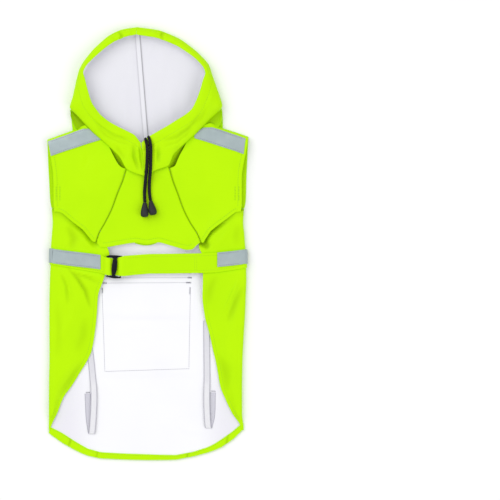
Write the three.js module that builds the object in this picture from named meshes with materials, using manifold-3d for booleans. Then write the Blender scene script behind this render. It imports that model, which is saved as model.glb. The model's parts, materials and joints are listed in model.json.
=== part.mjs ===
// Dog raincoat laid on its back, belly side up. Millimetres, +X right, +Y towards the hood, +Z up.
// The neon shell cloth is white inside, so each panel is one wall. Underneath lie the back's pocket and tape.
import * as THREE from 'three';
import Module from 'manifold-3d';

const wasm = await Module();
wasm.setup();

// Driving sizes
const CLOTH = 1.0;
const SEAM_GAP = 0.3;
const LAYER = CLOTH + SEAM_GAP;
const FOLD_RISE = 9.4;
const FOLD_RADIUS = FOLD_RISE / 2;
const FRONT_TOP = FOLD_RISE + LAYER;
const ON_FRONT = FRONT_TOP + 1.8;
const SEAM_FOOT = 1.9;
const CORD_DIAMETER = 4.5;
const TAPE_WIDTH = 20;
const LEG_STRAP_WIDTH = 8.5;
const SLIT = { width: 1.4, low: 84, high: 112 };
const POCKET = { left: -64, right: 63, low: -178, high: -50, flapLow: -96, flapHigh: -46, ramp: 4 };
const BACK_TAPE = { left: -120, right: 120, low: -2, high: 22, ramp: 5 };

const COLOURS = {
  neon: { color: 0xb4f00a, roughness: 0.55 },
  white: { color: 0xf4f4f6, roughness: 0.7 },
  reflective: { color: 0xaab8be, roughness: 0.4 },
  black: { color: 0x121419, roughness: 0.35 },
  cord: { color: 0x14151a, roughness: 0.8 },
};

const coat = new THREE.Group();

// Tables have named columns, and each row is a section of the garment
const table = (columns, rows) => rows.map(
  (row) => Object.fromEntries(columns.map((name, index) => [name, row[index]])));

// Half widths of the coat's outline and of the wraps' free edges, hem first
const outline = table(['y', 'left', 'right', 'innerLeft', 'innerRight', 'edgeTop'], [
  [-262, -139.2, 134.7, -138, 133.5, 4],
  [-250, -138.9, 133.6, -133.5, 127.6, 4],
  [-238, -138.7, 132.4, -127.5, 119, 4],
  [-215, -138.6, 132.4, -118.3, 108, 4],
  [-200, -138.5, 132.4, -107.5, 102, 4],
  [-183, -138.3, 132.6, -97, 99, 4],
  [-164, -137.8, 133, -85.3, 95.5, 4],
  [-150, -137.8, 133.6, -79, 92, 4],
  [-127, -137.9, 134.8, -74.6, 87, 4.1],
  [-100, -138, 136.5, -71.5, 80, 5],
  [-73, -137.8, 137.6, -69.6, 77, 7],
  [-50, -137.2, 138.4, -61.8, 77.6, 9],
  [-30, -136.4, 138, -56, 77.2, FOLD_RISE],
  [-14, -136, 137.8, -53.5, 76, FOLD_RISE],
  [-4, -135.8, 136.8, -57, 74, FOLD_RISE],
  [14, -134.4, 135.5, -78, 82, FOLD_RISE],
  [30, -133.4, 134, -98, 100, FOLD_RISE],
  [46, -134.5, 134.8, -118, 119, FOLD_RISE],
  [62, -137, 137.4, -118, 119, FOLD_RISE],
  [92, -138.6, 138.2, -118, 119, FOLD_RISE],
  [118, -140, 139.5, -118, 119, FOLD_RISE],
  [150, -141, 141, -118, 119, FOLD_RISE],
]);

// Hem: its outer line and the inner line of the turned-up facing
const hem = table(['x', 'outer', 'inner'], [
  [-139, -266, -256], [-136, -268.5, -257.5], [-120, -280, -265.5], [-104, -289, -276], [-94, -294, -282],
  [-84, -298, -287.5],
  [-68, -301.5, -292], [-64, -301.8, -292.6], [-40, -303, -294], [-27, -303.5, -294.6], [-14, -303.8, -295],
  [0, -304, -295.5], [14, -304, -296], [27, -303.9, -296.3], [40, -303.5, -296.4], [63, -299, -292],
  [67, -298.2, -291], [84, -293.5, -285.5], [94, -290, -280.5], [104, -285.5, -274],
  [120, -274.5, -262.5], [131, -263.5, -253], [134.5, -260.5, -251.5],
]);

// Shoulder line and the seam between back and hood, left to right
const neck = table(['x', 'y'], [
  [-141, 146.5], [-120, 153.8], [-104, 160], [-94, 149.5], [-84, 143], [-68, 134], [-64, 132], [-40, 121.4],
  [-27, 118], [-14, 116], [0, 115], [14, 115.6], [27, 116.8], [40, 118.6], [63, 130], [67, 132.4], [84, 144],
  [94, 151.5], [104, 163], [120, 158], [141, 150.5],
]);

// Chest seams, from the chest hem up under the hood
const chestSeams = table(['y', 'left', 'right'], [
  [3, -72, 74.8], [14, -68.5, 70], [30, -59.5, 59.8], [49, -50, 50.2],
  [70, -42.3, 42.5], [90, -34.2, 35], [104, -29.8, 31], [117, -24, 26],
]);

// Hood sections from the slit at the throat round to the crown. The rim goes from the face opening out
// to the fold and back under it: on the front panels at the throat, on the surface beside the face.
const rimColumns = ['outX', 'outY', 'faceX', 'faceY', 'faceTop', 'foldTop', 'under', 'tuck'];
const rimLeft = table(rimColumns, [
  [-3.6, 95, -9.2, 141.4, 17.4, 14.2, ON_FRONT, 12],
  [-18, 99.5, -17.7, 152, 18, 14.3, ON_FRONT, 12],
  [-30, 104, -30, 158.6, 18.6, 14.5, ON_FRONT, 12],
  [-42, 120, -41, 164, 19.2, 14.6, ON_FRONT, 12],
  [-57.7, 140.5, -54.2, 171.4, 20, 14.8, ON_FRONT, 12],
  [-76.7, 157, -65.7, 181, 21, 14.8, ON_FRONT, 12],
  [-98.7, 180.2, -76, 195, 22, 13, 7, 11],
  [-108.6, 191, -80, 205, 22.4, 11.2, 4, 9],
  [-104.7, 206.5, -83.2, 216, 22, 9.6, 0, 7],
  [-100.5, 226, -86.7, 230, 21, 9, 0, 7],
  [-96.2, 243, -89.2, 240.4, 20, 8.5, 0, 7],
  [-89.3, 256, -84.2, 250.5, 19, 8, 0, 7],
  [-75.7, 273, -71.2, 263.5, 17.5, 7.6, 0, 7],
  [-55.7, 291, -52.7, 278.8, 16, 7, 0, 7],
  [-36.7, 300.5, -34.7, 288.5, 15, 6.6, 0, 7],
  [-15, 304, -16.1, 292.9, 14.5, 6.5, 0, 7],
]);
const rimRight = table(rimColumns, [
  [-2.8, 95, -8.4, 141.4, 17.4, 14.2, ON_FRONT, 12],
  [11.6, 103, 1.5, 149.5, 18, 14.3, ON_FRONT, 12],
  [30, 109.5, 13.5, 156.5, 18.6, 14.5, ON_FRONT, 12],
  [41.5, 119, 27.5, 164.5, 19.2, 14.6, ON_FRONT, 12],
  [51, 137, 40.5, 172.5, 20, 14.8, ON_FRONT, 12],
  [68, 155, 53.5, 180.5, 21, 14.8, ON_FRONT, 12],
  [88, 175.5, 62.5, 188.5, 22, 13, 7, 11],
  [104.3, 191.5, 69, 201, 22.4, 11.2, 4, 9],
  [101.5, 206, 74.5, 216, 22, 9.6, 0, 7],
  [96, 222, 78, 229, 21, 9, 0, 7],
  [90.7, 237, 81, 238.5, 20, 8.5, 0, 7],
  [85, 252.5, 77.5, 248, 19, 8, 0, 7],
  [69, 269.5, 64.5, 261.5, 17.5, 7.6, 0, 7],
  [45, 287.5, 41.5, 276.8, 16, 7, 0, 7],
  [16, 299.5, 14.5, 287.8, 15, 6.6, 0, 7],
  [-14.4, 304, -15.5, 292.9, 14.5, 6.5, 0, 7],
]);
// The row of each rim where the fold first comes down to the surface, and the row at the hood's corner
const SURFACE_ROW = 7.5;
const CORNER_ROW = 11;
const hoodSide = {
  left: [[-104, 160.5], [-107.5, 172], [-107, 183]],
  right: [[104, 163.5], [105, 174], [103, 184]],
};

// Values between rows, on a curve that never overshoots them
function smoothColumn(rows, key, column) {
  const at = rows.map((row) => row[key]);
  const values = rows.map((row) => row[column]);
  const slopes = at.slice(1).map((place, i) => (values[i + 1] - values[i]) / (place - at[i]));
  const tangents = at.map((place, i) => {
    if (i === 0) return slopes[0];
    if (i === at.length - 1) return slopes[i - 1];
    const product = slopes[i - 1] * slopes[i];
    return product <= 0 ? 0 : (2 * product) / (slopes[i - 1] + slopes[i]);
  });
  return (place) => {
    const next = at.findIndex((value) => value >= place);
    const i = Math.min(Math.max(next - 1, 0), at.length - 2);
    const width = at[i + 1] - at[i];
    const t = THREE.MathUtils.clamp((place - at[i]) / width, 0, 1);
    const low = (1 + 2 * t) * (1 - t) ** 2 * values[i] + t * (1 - t) ** 2 * width * tangents[i];
    const high = t * t * (3 - 2 * t) * values[i + 1] + t * t * (t - 1) * width * tangents[i + 1];
    return low + high;
  };
}

// Straight lines between rows
function lineColumn(rows, key, column) {
  return (place) => {
    const next = rows.findIndex((row) => row[key] >= place);
    const i = Math.min(Math.max(next - 1, 0), rows.length - 2);
    const t = THREE.MathUtils.clamp((place - rows[i][key]) / (rows[i + 1][key] - rows[i][key]), 0, 1);
    return THREE.MathUtils.lerp(rows[i][column], rows[i + 1][column], t);
  };
}

const outlineLeft = smoothColumn(outline, 'y', 'left');
const outlineRight = smoothColumn(outline, 'y', 'right');
const innerLeft = smoothColumn(outline, 'y', 'innerLeft');
const innerRight = smoothColumn(outline, 'y', 'innerRight');
const edgeTop = smoothColumn(outline, 'y', 'edgeTop');
const hemOuter = lineColumn(hem, 'x', 'outer');
const hemInner = lineColumn(hem, 'x', 'inner');
const neckLine = lineColumn(neck, 'x', 'y');
const seamLeft = smoothColumn(chestSeams, 'y', 'left');
const seamRight = smoothColumn(chestSeams, 'y', 'right');

// A grid is rows of points on a panel's outer face. These are its normals, facing out.
function gridNormals(grid, facing) {
  const lastRow = grid.length - 1;
  const lastColumn = grid[0].length - 1;
  return grid.map((row, i) => row.map((point, j) => {
    const across = grid[i][Math.min(j + 1, lastColumn)].clone().sub(grid[i][Math.max(j - 1, 0)]);
    const along = grid[Math.min(i + 1, lastRow)][j].clone().sub(grid[Math.max(i - 1, 0)][j]);
    return across.cross(along).normalize().multiplyScalar(facing);
  }));
}

function moved(grid, normals, distance) {
  return grid.map((row, i) => row.map((point, j) => point.clone().addScaledVector(normals[i][j], distance)));
}

// One closed wall between two faces that share a grid
function closedWall(outer, inner, facing) {
  const columns = outer[0].length;
  const count = outer.length * columns;
  const positions = [...outer.flat(), ...inner.flat()].flatMap((point) => [point.x, point.y, point.z]);
  const faces = [];
  const quad = (a, b, c, d) => faces.push(facing > 0 ? [a, b, c, a, c, d] : [a, c, b, a, d, c]);
  for (let i = 0; i < outer.length - 1; i += 1) {
    for (let j = 0; j < columns - 1; j += 1) {
      const a = i * columns + j;
      quad(a, a + 1, a + columns + 1, a + columns);
      quad(count + a, count + a + columns, count + a + columns + 1, count + a + 1);
    }
  }
  const rim = [];
  for (let j = 0; j < columns; j += 1) rim.push(j);
  for (let i = 1; i < outer.length; i += 1) rim.push(i * columns + columns - 1);
  for (let j = columns - 2; j >= 0; j -= 1) rim.push((outer.length - 1) * columns + j);
  for (let i = outer.length - 2; i > 0; i -= 1) rim.push(i * columns);
  rim.forEach((from, index) => {
    const to = rim[(index + 1) % rim.length];
    quad(from, count + from, count + to, to);
  });
  const geometry = new THREE.BufferGeometry();
  geometry.setAttribute('position', new THREE.Float32BufferAttribute(positions, 3));
  geometry.setIndex(faces.flat());
  return geometry;
}

function add(name, geometry, finish) {
  const { color, roughness } = COLOURS[finish];
  const mesh = new THREE.Mesh(geometry, new THREE.MeshStandardMaterial({ color, roughness, metalness: 0 }));
  mesh.name = name;
  coat.add(mesh);
  return mesh;
}

// A panel on a grid, from the distance low to the distance high outside the grid's face
function addPanel(name, grid, finish, { facing = 1, low = -CLOTH, high = 0 } = {}) {
  const normals = gridNormals(grid, facing);
  return add(name, closedWall(moved(grid, normals, high), moved(grid, normals, low), facing), finish);
}

// A patch between four edges, each a list of points in plan
function patch(bottom, top, left, right) {
  const shares = (edge) => {
    const lengths = edge.map((point, i) => (i === 0 ? 0 : point.distanceTo(edge[i - 1])));
    const sums = lengths.map((length, i) => lengths.slice(0, i + 1).reduce((a, b) => a + b, 0));
    return sums.map((sum) => sum / sums.at(-1));
  };
  const mean = (a, b) => a.map((value, i) => (value + b[i]) / 2);
  const across = mean(shares(bottom), shares(top));
  const along = mean(shares(left), shares(right));
  return along.map((v, i) => across.map((u, j) => {
    const point = new THREE.Vector2()
      .addScaledVector(bottom[j], 1 - v).addScaledVector(top[j], v)
      .addScaledVector(left[i], 1 - u).addScaledVector(right[i], u)
      .addScaledVector(bottom[0], -(1 - u) * (1 - v)).addScaledVector(bottom.at(-1), -u * (1 - v))
      .addScaledVector(top[0], -(1 - u) * v).addScaledVector(top.at(-1), -u * v);
    return point;
  }));
}

const plan = (x, y) => new THREE.Vector2(x, y);
const lift = (grid, height) => grid.map(
  (row) => row.map((point) => new THREE.Vector3(point.x, point.y, height(point.x, point.y))));

// Height of the back's underside over the pocket, its flap and the reflective tape
const within = (value, low, high, ramp) => THREE.MathUtils.clamp(
  1 - Math.max(low - value, value - high) / ramp, 0, 1);
function pocketRise(x, y) {
  const { left, right, flapLow, flapHigh, ramp } = POCKET;
  return LAYER * Math.min(within(x, left, right, ramp), within(y, flapLow, flapHigh, ramp));
}
function backRise(x, y) {
  const { left, right, low, high, ramp } = POCKET;
  const pocket = LAYER * Math.min(within(x, left, right, ramp), within(y, low, high, ramp));
  const tape = BACK_TAPE;
  const band = LAYER * Math.min(
    within(x, tape.left, tape.right, tape.ramp), within(y, tape.low, tape.high, tape.ramp));
  return Math.max(pocket + pocketRise(x, y), band);
}

// Side fold of the wraps, narrower where the wrap runs out at the hem
function foldRadius(y) {
  const width = Math.min(innerLeft(y) - outlineLeft(y), outlineRight(y) - innerRight(y));
  const shoulderEase = THREE.MathUtils.clamp((50 - y) / 4, 0, 1);
  return Math.min(FOLD_RADIUS, 0.42 * width) * shoulderEase;
}

const bodyRows = [-250, -240, -226, -210, -196, -182, -178, -160, -140, -118, -100, -96, -73, -50, -46, -42,
  -30, -14, -7, -2, 22, 27, 36, 46];
const FOLD_STEPS = [-90, -54, -18, 18, 54, 90];
const TOP_STEPS = [0.1, 0.25, 0.45, 0.65, 0.82, 0.93, 1];

// Points round a side fold and over the belly to the wrap's free edge. Side is -1 left, 1 right.
function wrapSection(side, y) {
  const outer = side < 0 ? outlineLeft(y) : outlineRight(y);
  const inner = side < 0 ? innerLeft(y) : innerRight(y);
  const radius = foldRadius(y);
  const foldTop = 2 * radius;
  const centre = outer - side * radius;
  const edge = Math.min(edgeTop(y), foldTop);
  const fold = FOLD_STEPS.map((degrees) => {
    const angle = THREE.MathUtils.degToRad(degrees);
    return new THREE.Vector3(centre + side * radius * Math.cos(angle), y, radius + radius * Math.sin(angle));
  });
  const top = TOP_STEPS.map((share) => {
    const fall = THREE.MathUtils.smoothstep(share, 0.12, 1);
    return new THREE.Vector3(
      THREE.MathUtils.lerp(centre, inner, share), y, THREE.MathUtils.lerp(foldTop, edge, fall));
  });
  return [...fold, ...top];
}

function addBack() {
  const columns = [-120, -104, -94, -84, -68, -64, -40, -27, -14, 0, 14, 27, 40, 63, 67, 84, 94, 104, 120];
  const rows = [...bodyRows, 50, 80, 110];
  const edgeAt = (side, y) => {
    const outer = side < 0 ? outlineLeft(y) : outlineRight(y);
    return outer - side * (foldRadius(y) + (y <= 46 ? 2 * SEAM_GAP : 0));
  };
  const point = (x, y) => new THREE.Vector3(x, y, backRise(x, y));
  const between = (y) => [edgeAt(-1, y), ...columns, edgeAt(1, y)].map((x) => point(x, y));
  const hemRow = [-139, ...columns, 134.5].map((x) => point(x, hemOuter(x)));
  const neckRow = [-141, ...columns, 141].map((x) => point(x, neckLine(x)));
  const grid = [hemRow, ...rows.map(between), neckRow];
  const panel = addPanel('back_panel', grid, 'neon', { facing: -1 });
  panel.geometry = cutSlit(panel.geometry);
}

function toSolid(geometry) {
  return new wasm.Manifold(new wasm.Mesh({
    numProp: 3,
    vertProperties: geometry.getAttribute('position').array,
    triVerts: new Uint32Array(geometry.getIndex().array),
  }));
}

// The leash slit at the back of the neck
function cutSlit(geometry) {
  const length = SLIT.high - SLIT.low;
  const box = new THREE.BoxGeometry(SLIT.width, length, 10 * CLOTH);
  box.translate(0, (SLIT.low + SLIT.high) / 2, 0);
  const cutter = weld(box);
  return fromSolid(toSolid(geometry).subtract(toSolid(cutter)));
}

function fromSolid(solid) {
  const mesh = solid.getMesh();
  const cut = new THREE.BufferGeometry();
  cut.setAttribute('position', new THREE.Float32BufferAttribute(mesh.vertProperties, 3));
  cut.setIndex([...mesh.triVerts]);
  return cut;
}

// Shared corners merged, with positions alone
function weld(geometry) {
  const source = (geometry.getIndex() ? geometry.toNonIndexed() : geometry).getAttribute('position');
  const seen = new Map();
  const positions = [];
  const index = [];
  for (let i = 0; i < source.count; i += 1) {
    const corner = [source.getX(i), source.getY(i), source.getZ(i)];
    const key = corner.map((value) => value.toFixed(4)).join(' ');
    if (!seen.has(key)) {
      seen.set(key, positions.length / 3);
      positions.push(...corner);
    }
    index.push(seen.get(key));
  }
  const faces = [];
  for (let i = 0; i < index.length; i += 3) {
    const corners = index.slice(i, i + 3);
    if (new Set(corners).size === 3) faces.push(...corners);
  }
  const welded = new THREE.BufferGeometry();
  welded.setAttribute('position', new THREE.Float32BufferAttribute(positions, 3));
  welded.setIndex(faces);
  return welded;
}

function addWraps() {
  addPanel('side_wrap_left', bodyRows.map((y) => wrapSection(-1, y)), 'neon', { facing: 1 });
  addPanel('side_wrap_right', bodyRows.map((y) => wrapSection(1, y)), 'neon', { facing: -1 });
}

function addBackTrim() {
  const flat = (xs, ys, height) => ys.map((y) => xs.map((x) => new THREE.Vector3(x, y, height(x, y))));
  const { left, right, low, high, flapLow, flapHigh, ramp } = POCKET;
  const pocketRows = [low, -140, flapLow - ramp, flapLow, high];
  addPanel('pocket_patch', flat([left + 1, 0, right - 1], pocketRows, pocketRise), 'neon', { facing: -1 });
  const floor = () => 0;
  const flap = flat([left, 0, right], [flapLow + SEAM_GAP, flapHigh], floor);
  addPanel('pocket_flap', flap, 'neon', { facing: -1 });
  const tape = BACK_TAPE;
  addPanel('back_tape', flat([tape.left, 0, tape.right], [tape.low, tape.high], floor), 'reflective',
    { facing: -1 });
}

function addHemFacing() {
  const columns = hem.map((row) => row.x).filter((x) => x >= -136 && x <= 131);
  const shares = [0, 0.5, 1];
  const grid = shares.map((share) => columns.map((x) => new THREE.Vector3(
    x, THREE.MathUtils.lerp(hemOuter(x) + 0.8, hemInner(x), share), LAYER + CLOTH)));
  addPanel('hem_facing', grid, 'neon');
}

// Outer height of the front panels: level, lower at the armholes, turned down at the shoulder seam
function frontTop(x, y) {
  const side = Math.sign(x);
  const seam = (place) => (side < 0
    ? THREE.MathUtils.mapLinear(place, -141, -104, 146.5, 160)
    : THREE.MathUtils.mapLinear(place, 104, 141, 163, 150.5));
  const below = Math.max(seam(x) - y, 0);
  const turn = Math.sqrt(1 - (1 - Math.min(below / 8, 1)) ** 2);
  const fade = THREE.MathUtils.smoothstep(Math.abs(x), 84, 103);
  const armholeEase = 0.5 * THREE.MathUtils.smoothstep(Math.abs(x), 112, 136)
    * THREE.MathUtils.smoothstep(y, 50, 70);
  const level = FRONT_TOP - armholeEase;
  return THREE.MathUtils.lerp(level, THREE.MathUtils.lerp(SEAM_FOOT, level, turn), fade);
}

const frontRows = [3, 9, 18, 30, 44, 58, 74, 90, 104, 111, 117];
const chestSeam = (side, y) => plan((side < 0 ? seamLeft(y) : seamRight(y)), y);

// Armhole edge, shoulder and hidden neck edge, and the slanted edge above the belly, as points in plan
const frontEdges = {
  left: {
    armhole: [[-130.6, 45.5], [-131, 52], [-131.4, 60], [-131.6, 72], [-131.6, 86], [-132.2, 100],
      [-134.4, 115], [-137, 128], [-138.9, 137], [-140, 142], [-141, 146.5]],
    top: [[-141, 146.5], [-122.5, 153.2], [-104, 160], [-88, 168], [-70, 165], [-50, 148], [-34, 128],
      [-24, 117]],
    lower: [[-130.6, 45.5], [-123, 45], [-118, 42.4], [-105, 31.5], [-90, 20], [-82, 10], [-76.5, 3.5],
      [-72, 3]],
  },
  right: {
    armhole: [[130.6, 45.5], [131.6, 52], [131.8, 60], [131.8, 72], [131.8, 86], [132, 100],
      [134.8, 115], [137.4, 128], [139, 137], [140, 143], [141, 150.5]],
    top: [[141, 150.5], [122.5, 156.8], [104, 163], [88, 170], [70, 163], [52, 146], [38, 128], [26, 117]],
    lower: [[130.6, 45.5], [123.5, 45], [117, 40], [103, 29.8], [88.5, 18.5], [81, 7], [77.5, 1], [74.8, 3]],
  },
};

function addFront(name, edges, side) {
  const points = (list) => list.map(([x, y]) => plan(x, y));
  const seam = frontRows.map((y) => chestSeam(side, y).add(plan(side * SEAM_GAP / 2, 0)));
  const lower = points(edges.lower);
  const top = points(edges.top);
  lower[lower.length - 1] = seam[0].clone();
  top[top.length - 1] = seam.at(-1).clone();
  const grid = lift(patch(lower, top, points(edges.armhole), seam), frontTop);
  addPanel(name, grid, 'neon', { facing: -side });
}

const chestHem = [[-72, 3], [-66, -5], [-57.7, -4.8], [-44, -2.2], [-27, 0.8], [-16, 2.2], [-0.7, -0.6],
  [16.4, 2.6], [37.2, -3.6], [53.5, -8.3], [62.6, -7.8], [69.7, -1], [74.8, 3]];

function addChest() {
  const left = frontRows.map((y) => chestSeam(-1, y).add(plan(SEAM_GAP / 2, 0)));
  const right = frontRows.map((y) => chestSeam(1, y).add(plan(-SEAM_GAP / 2, 0)));
  const bottom = chestHem.map(([x, y]) => plan(x, y));
  bottom[0] = left[0].clone();
  bottom[bottom.length - 1] = right[0].clone();
  const last = bottom.length - 1;
  const top = bottom.map((point, i) => plan(
    THREE.MathUtils.lerp(left.at(-1).x, right.at(-1).x, i / last), 117 - 6 * Math.sin(Math.PI * i / last)));
  addPanel('chest_panel', lift(patch(bottom, top, left, right), () => FRONT_TOP), 'neon');
  const elastic = [-18, -11, -3, 5, 12.6];
  const middle = (index) => 1 - ((index - 2) / 2) ** 2;
  const rows = [elastic.map((x, i) => new THREE.Vector3(x, 1.4 - 3.2 * middle(i), FRONT_TOP - LAYER)),
    elastic.map((x) => new THREE.Vector3(x, 8, FRONT_TOP - LAYER))];
  addPanel('chest_elastic', rows, 'neon');
}

// Reflective tape over each shoulder, on the front panel
function addShoulderTapes() {
  const ends = table(['name', 'side', 'xs', 'low', 'high'], [
    ['shoulder_tape_left', -1, [-135.5, -124, -112, -100, -90, -78, -66],
      [123.4, 127.4, 131.4, 135.2, 138.6, 142.4, 146], [144, 148, 152.2, 156.8, 160.2, 160.4, 154]],
    ['shoulder_tape_right', 1, [135.5, 124, 112, 100, 90, 78, 66],
      [126, 130, 133.8, 137.6, 141, 144.8, 148.2], [147.4, 151.6, 155.8, 160, 162.4, 161.4, 154.6]],
  ]);
  ends.forEach(({ name, side, xs, low, high }) => {
    const shares = [0, 0.35, 0.6, 0.78, 0.9, 1];
    const grid = shares.map((share) => xs.map((x, i) => {
      const y = THREE.MathUtils.lerp(low[i], high[i], share);
      return new THREE.Vector3(x, y, frontTop(x, y));
    }));
    addPanel(name, grid, 'reflective', { facing: -side, low: SEAM_GAP + 0.15, high: SEAM_GAP + 0.15 + CLOTH });
  });
}

// Smooth values between the rim's rows
function rimSampler(rows) {
  const curve = (x, y, z) => new THREE.CatmullRomCurve3(
    rows.map((row) => new THREE.Vector3(row[x], row[y], row[z])), false, 'catmullrom', 0.35);
  const out = curve('outX', 'outY', 'foldTop');
  const face = curve('faceX', 'faceY', 'faceTop');
  const under = curve('tuck', 'under', 'tuck');
  const last = rows.length - 1;
  return (row) => {
    const outer = out.getPoint(row / last);
    const opening = face.getPoint(row / last);
    const below = under.getPoint(row / last);
    const inward = plan(opening.x - outer.x, opening.y - outer.y).normalize();
    return { outer, opening, tuck: below.x, under: Math.max(below.y, 0), inward };
  };
}

const RIM_TOP_STEPS = [0, 0.2, 0.42, 0.64, 0.82, 0.94];
const RIM_UNDER_STEPS = [0, 30, 60, 90];

function rimSection({ outer, opening, tuck, under, inward }) {
  const top = RIM_TOP_STEPS.map((share) => new THREE.Vector3(
    THREE.MathUtils.lerp(opening.x, outer.x, share), THREE.MathUtils.lerp(opening.y, outer.y, share),
    outer.z + (opening.z - outer.z) * Math.sqrt(1 - share ** 2)));
  const below = RIM_UNDER_STEPS.map((degrees) => {
    const angle = THREE.MathUtils.degToRad(degrees);
    const inset = tuck * (1 - Math.cos(angle));
    return new THREE.Vector3(
      outer.x + inward.x * inset, outer.y + inward.y * inset, outer.z - (outer.z - under) * Math.sin(angle));
  });
  return [...top, ...below];
}

const rimPlaces = Array.from({ length: 31 }, (_, i) => i / 2);

function addHood(side, rows, name) {
  const sampler = rimSampler(rows);
  const facing = side < 0 ? -1 : 1;
  addPanel(`hood_rim_${name}`, rimPlaces.map((row) => rimSection(sampler(row))), 'neon', { facing });

  // The hood's back lies on the surface inside the rim's fold, from the neck seam to the crown
  const inset = (row) => {
    const { outer, tuck, inward } = sampler(row);
    const reach = tuck + 2.5 * SEAM_GAP;
    return plan(outer.x + inward.x * reach, outer.y + inward.y * reach);
  };
  const sidePlaces = rimPlaces.filter((row) => row >= SURFACE_ROW && row <= CORNER_ROW);
  const crownPlaces = rimPlaces.filter((row) => row >= CORNER_ROW);
  const sideEdge = [...hoodSide[name].map(([x, y]) => plan(x, y)), ...sidePlaces.map(inset)];
  const crown = crownPlaces.map(inset);
  crown[crown.length - 1] = plan(-14.7 + side * SEAM_GAP / 2, crown.at(-1).y);
  const neckColumns = [104, 94, 84, 67, 63, 40, 27, 14, 0];
  const leftColumns = [104, 94, 84, 68, 64, 40, 27, 14, 0];
  const neckEdge = (side < 0 ? leftColumns : neckColumns).map((x) => {
    const place = x === 0 ? side * SEAM_GAP / 2 : side * x;
    return plan(place, neckLine(place) + 0.5);
  });
  const crownEnd = crown.at(-1);
  const centre = sideEdge.map((point, i) => {
    const share = i / (sideEdge.length - 1);
    return plan(THREE.MathUtils.lerp(neckEdge.at(-1).x, crownEnd.x, share),
      THREE.MathUtils.lerp(neckEdge.at(-1).y, crownEnd.y, share));
  });
  sideEdge[0] = neckEdge[0].clone();
  const grid = lift(patch(neckEdge, crown, sideEdge, centre), () => 0);
  addPanel(`hood_${name}`, grid, 'neon', { facing });
}

function addHoodTape() {
  const rows = [124, 170, 230, 294];
  const centre = (y) => THREE.MathUtils.mapLinear(y, 115, 297, 0, -14.7);
  const level = LAYER + CLOTH;
  const grid = rows.map((y) => [-3.5, 3.5].map((offset) => new THREE.Vector3(centre(y) + offset, y, level)));
  addPanel('hood_seam_tape', grid, 'white');
}

// Belt: stations from the side to the slider, on the wrap and then across the belly
const BUCKLE = { x: -46, low: -48.2, high: -15.4, width: 22.4, bar: 4.1, sideBar: 2.6, centreBar: 6,
  above: 0.3, height: 1.9 };

const beltEdges = table(['x', 'low', 'high', 'above'], [
  [-138, -28.5, -5.9, 0], [-120, -31, -8.6, 0], [-100, -34.6, -11, 0], [-80, -38, -13.4, 0],
  [-66, -40.3, -15.3, 0], [-61.4, -41.6, -16.8, 0.8],
  [-58.4, -43, -18.8, 3.6], [-53.8, -43.6, -19.6, 3.6], [-51.6, -43.8, -19.8, 1.2], [-49.8, -43.8, -19.8, -0.1],
  [-46.3, -43.8, -19.8, -0.1], [-45.7, -43.8, -19.8, -0.1],
  [-42.2, -43.8, -19.8, -0.1], [-40.4, -43.8, -19.8, 1.2], [-38.2, -43.8, -19.8, 3.6],
  [-33.6, -45, -18.6, 3.6], [-30.6, -44.8, -17.8, 1], [-20, -43.2, -16.2, 0.2], [3, -41.2, -14.2, 0.1],
  [30, -41, -13.9, 0.1], [66, -40.5, -13.4, 0], [80, -40.4, -13, 0], [98, -39.6, -11.9, 0],
  [118, -36.6, -9.9, 0], [139, -33.2, -7.4, 0],
]);
const beltLow = lineColumn(beltEdges, 'x', 'low');
const beltHigh = lineColumn(beltEdges, 'x', 'high');
const beltAbove = lineColumn(beltEdges, 'x', 'above');
const BELT_SHARES = [0, 0.28, 0.64, 1];

// Belt points at x across the belly, or round the side fold where the angle is given
function beltColumn(x, side, degrees, low, high) {
  return BELT_SHARES.map((share) => {
    const y = THREE.MathUtils.lerp(low(x), high(x), share);
    if (degrees === undefined) return new THREE.Vector3(x, y, FOLD_RISE + beltAbove(x));
    const angle = THREE.MathUtils.degToRad(degrees);
    const outer = side < 0 ? outlineLeft(y) : outlineRight(y);
    const centre = outer - side * FOLD_RADIUS;
    return new THREE.Vector3(
      centre + side * FOLD_RADIUS * Math.cos(angle), y, FOLD_RADIUS + FOLD_RADIUS * Math.sin(angle));
  });
}

function addBelt() {
  const around = [-18, 18, 54, 90];
  const xs = beltEdges.map((row) => row.x);
  const bandXs = xs.filter((x) => x > -138 && x <= -46.3);
  const strapXs = xs.filter((x) => x >= -45.7 && x < 130);
  const band = [...around.map((degrees) => beltColumn(-137, -1, degrees, beltLow, beltHigh)),
    ...bandXs.map((x) => beltColumn(x, -1, undefined, beltLow, beltHigh))];
  addPanel('belt_band_left', band, 'neon', { facing: -1, low: SEAM_GAP, high: LAYER });
  const strap = [...around.map((degrees) => beltColumn(138, 1, degrees, beltLow, beltHigh)),
    ...strapXs.slice().reverse().map((x) => beltColumn(x, 1, undefined, beltLow, beltHigh))];
  addPanel('belt_strap', strap, 'neon', { facing: 1, low: SEAM_GAP, high: LAYER });

  const tapeLow = (x) => Math.max(beltHigh(x) - TAPE_WIDTH, beltLow(x) + 2);
  const tapeHigh = (x) => beltHigh(x) - 0.4;
  const tape = { low: LAYER + SEAM_GAP, high: 2 * LAYER };
  const leftTape = [...around.map((degrees) => beltColumn(-137, -1, degrees, tapeLow, tapeHigh)),
    ...[-120, -100, -80, -66].map((x) => beltColumn(x, -1, undefined, tapeLow, tapeHigh))];
  addPanel('belt_tape_left', leftTape, 'reflective', { facing: -1, ...tape });
  const rightTape = [...around.map((degrees) => beltColumn(138, 1, degrees, tapeLow, tapeHigh)),
    ...[118, 98].map((x) => beltColumn(x, 1, undefined, tapeLow, tapeHigh))];
  addPanel('belt_tape_right', rightTape, 'reflective', { facing: 1, ...tape });
}

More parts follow.
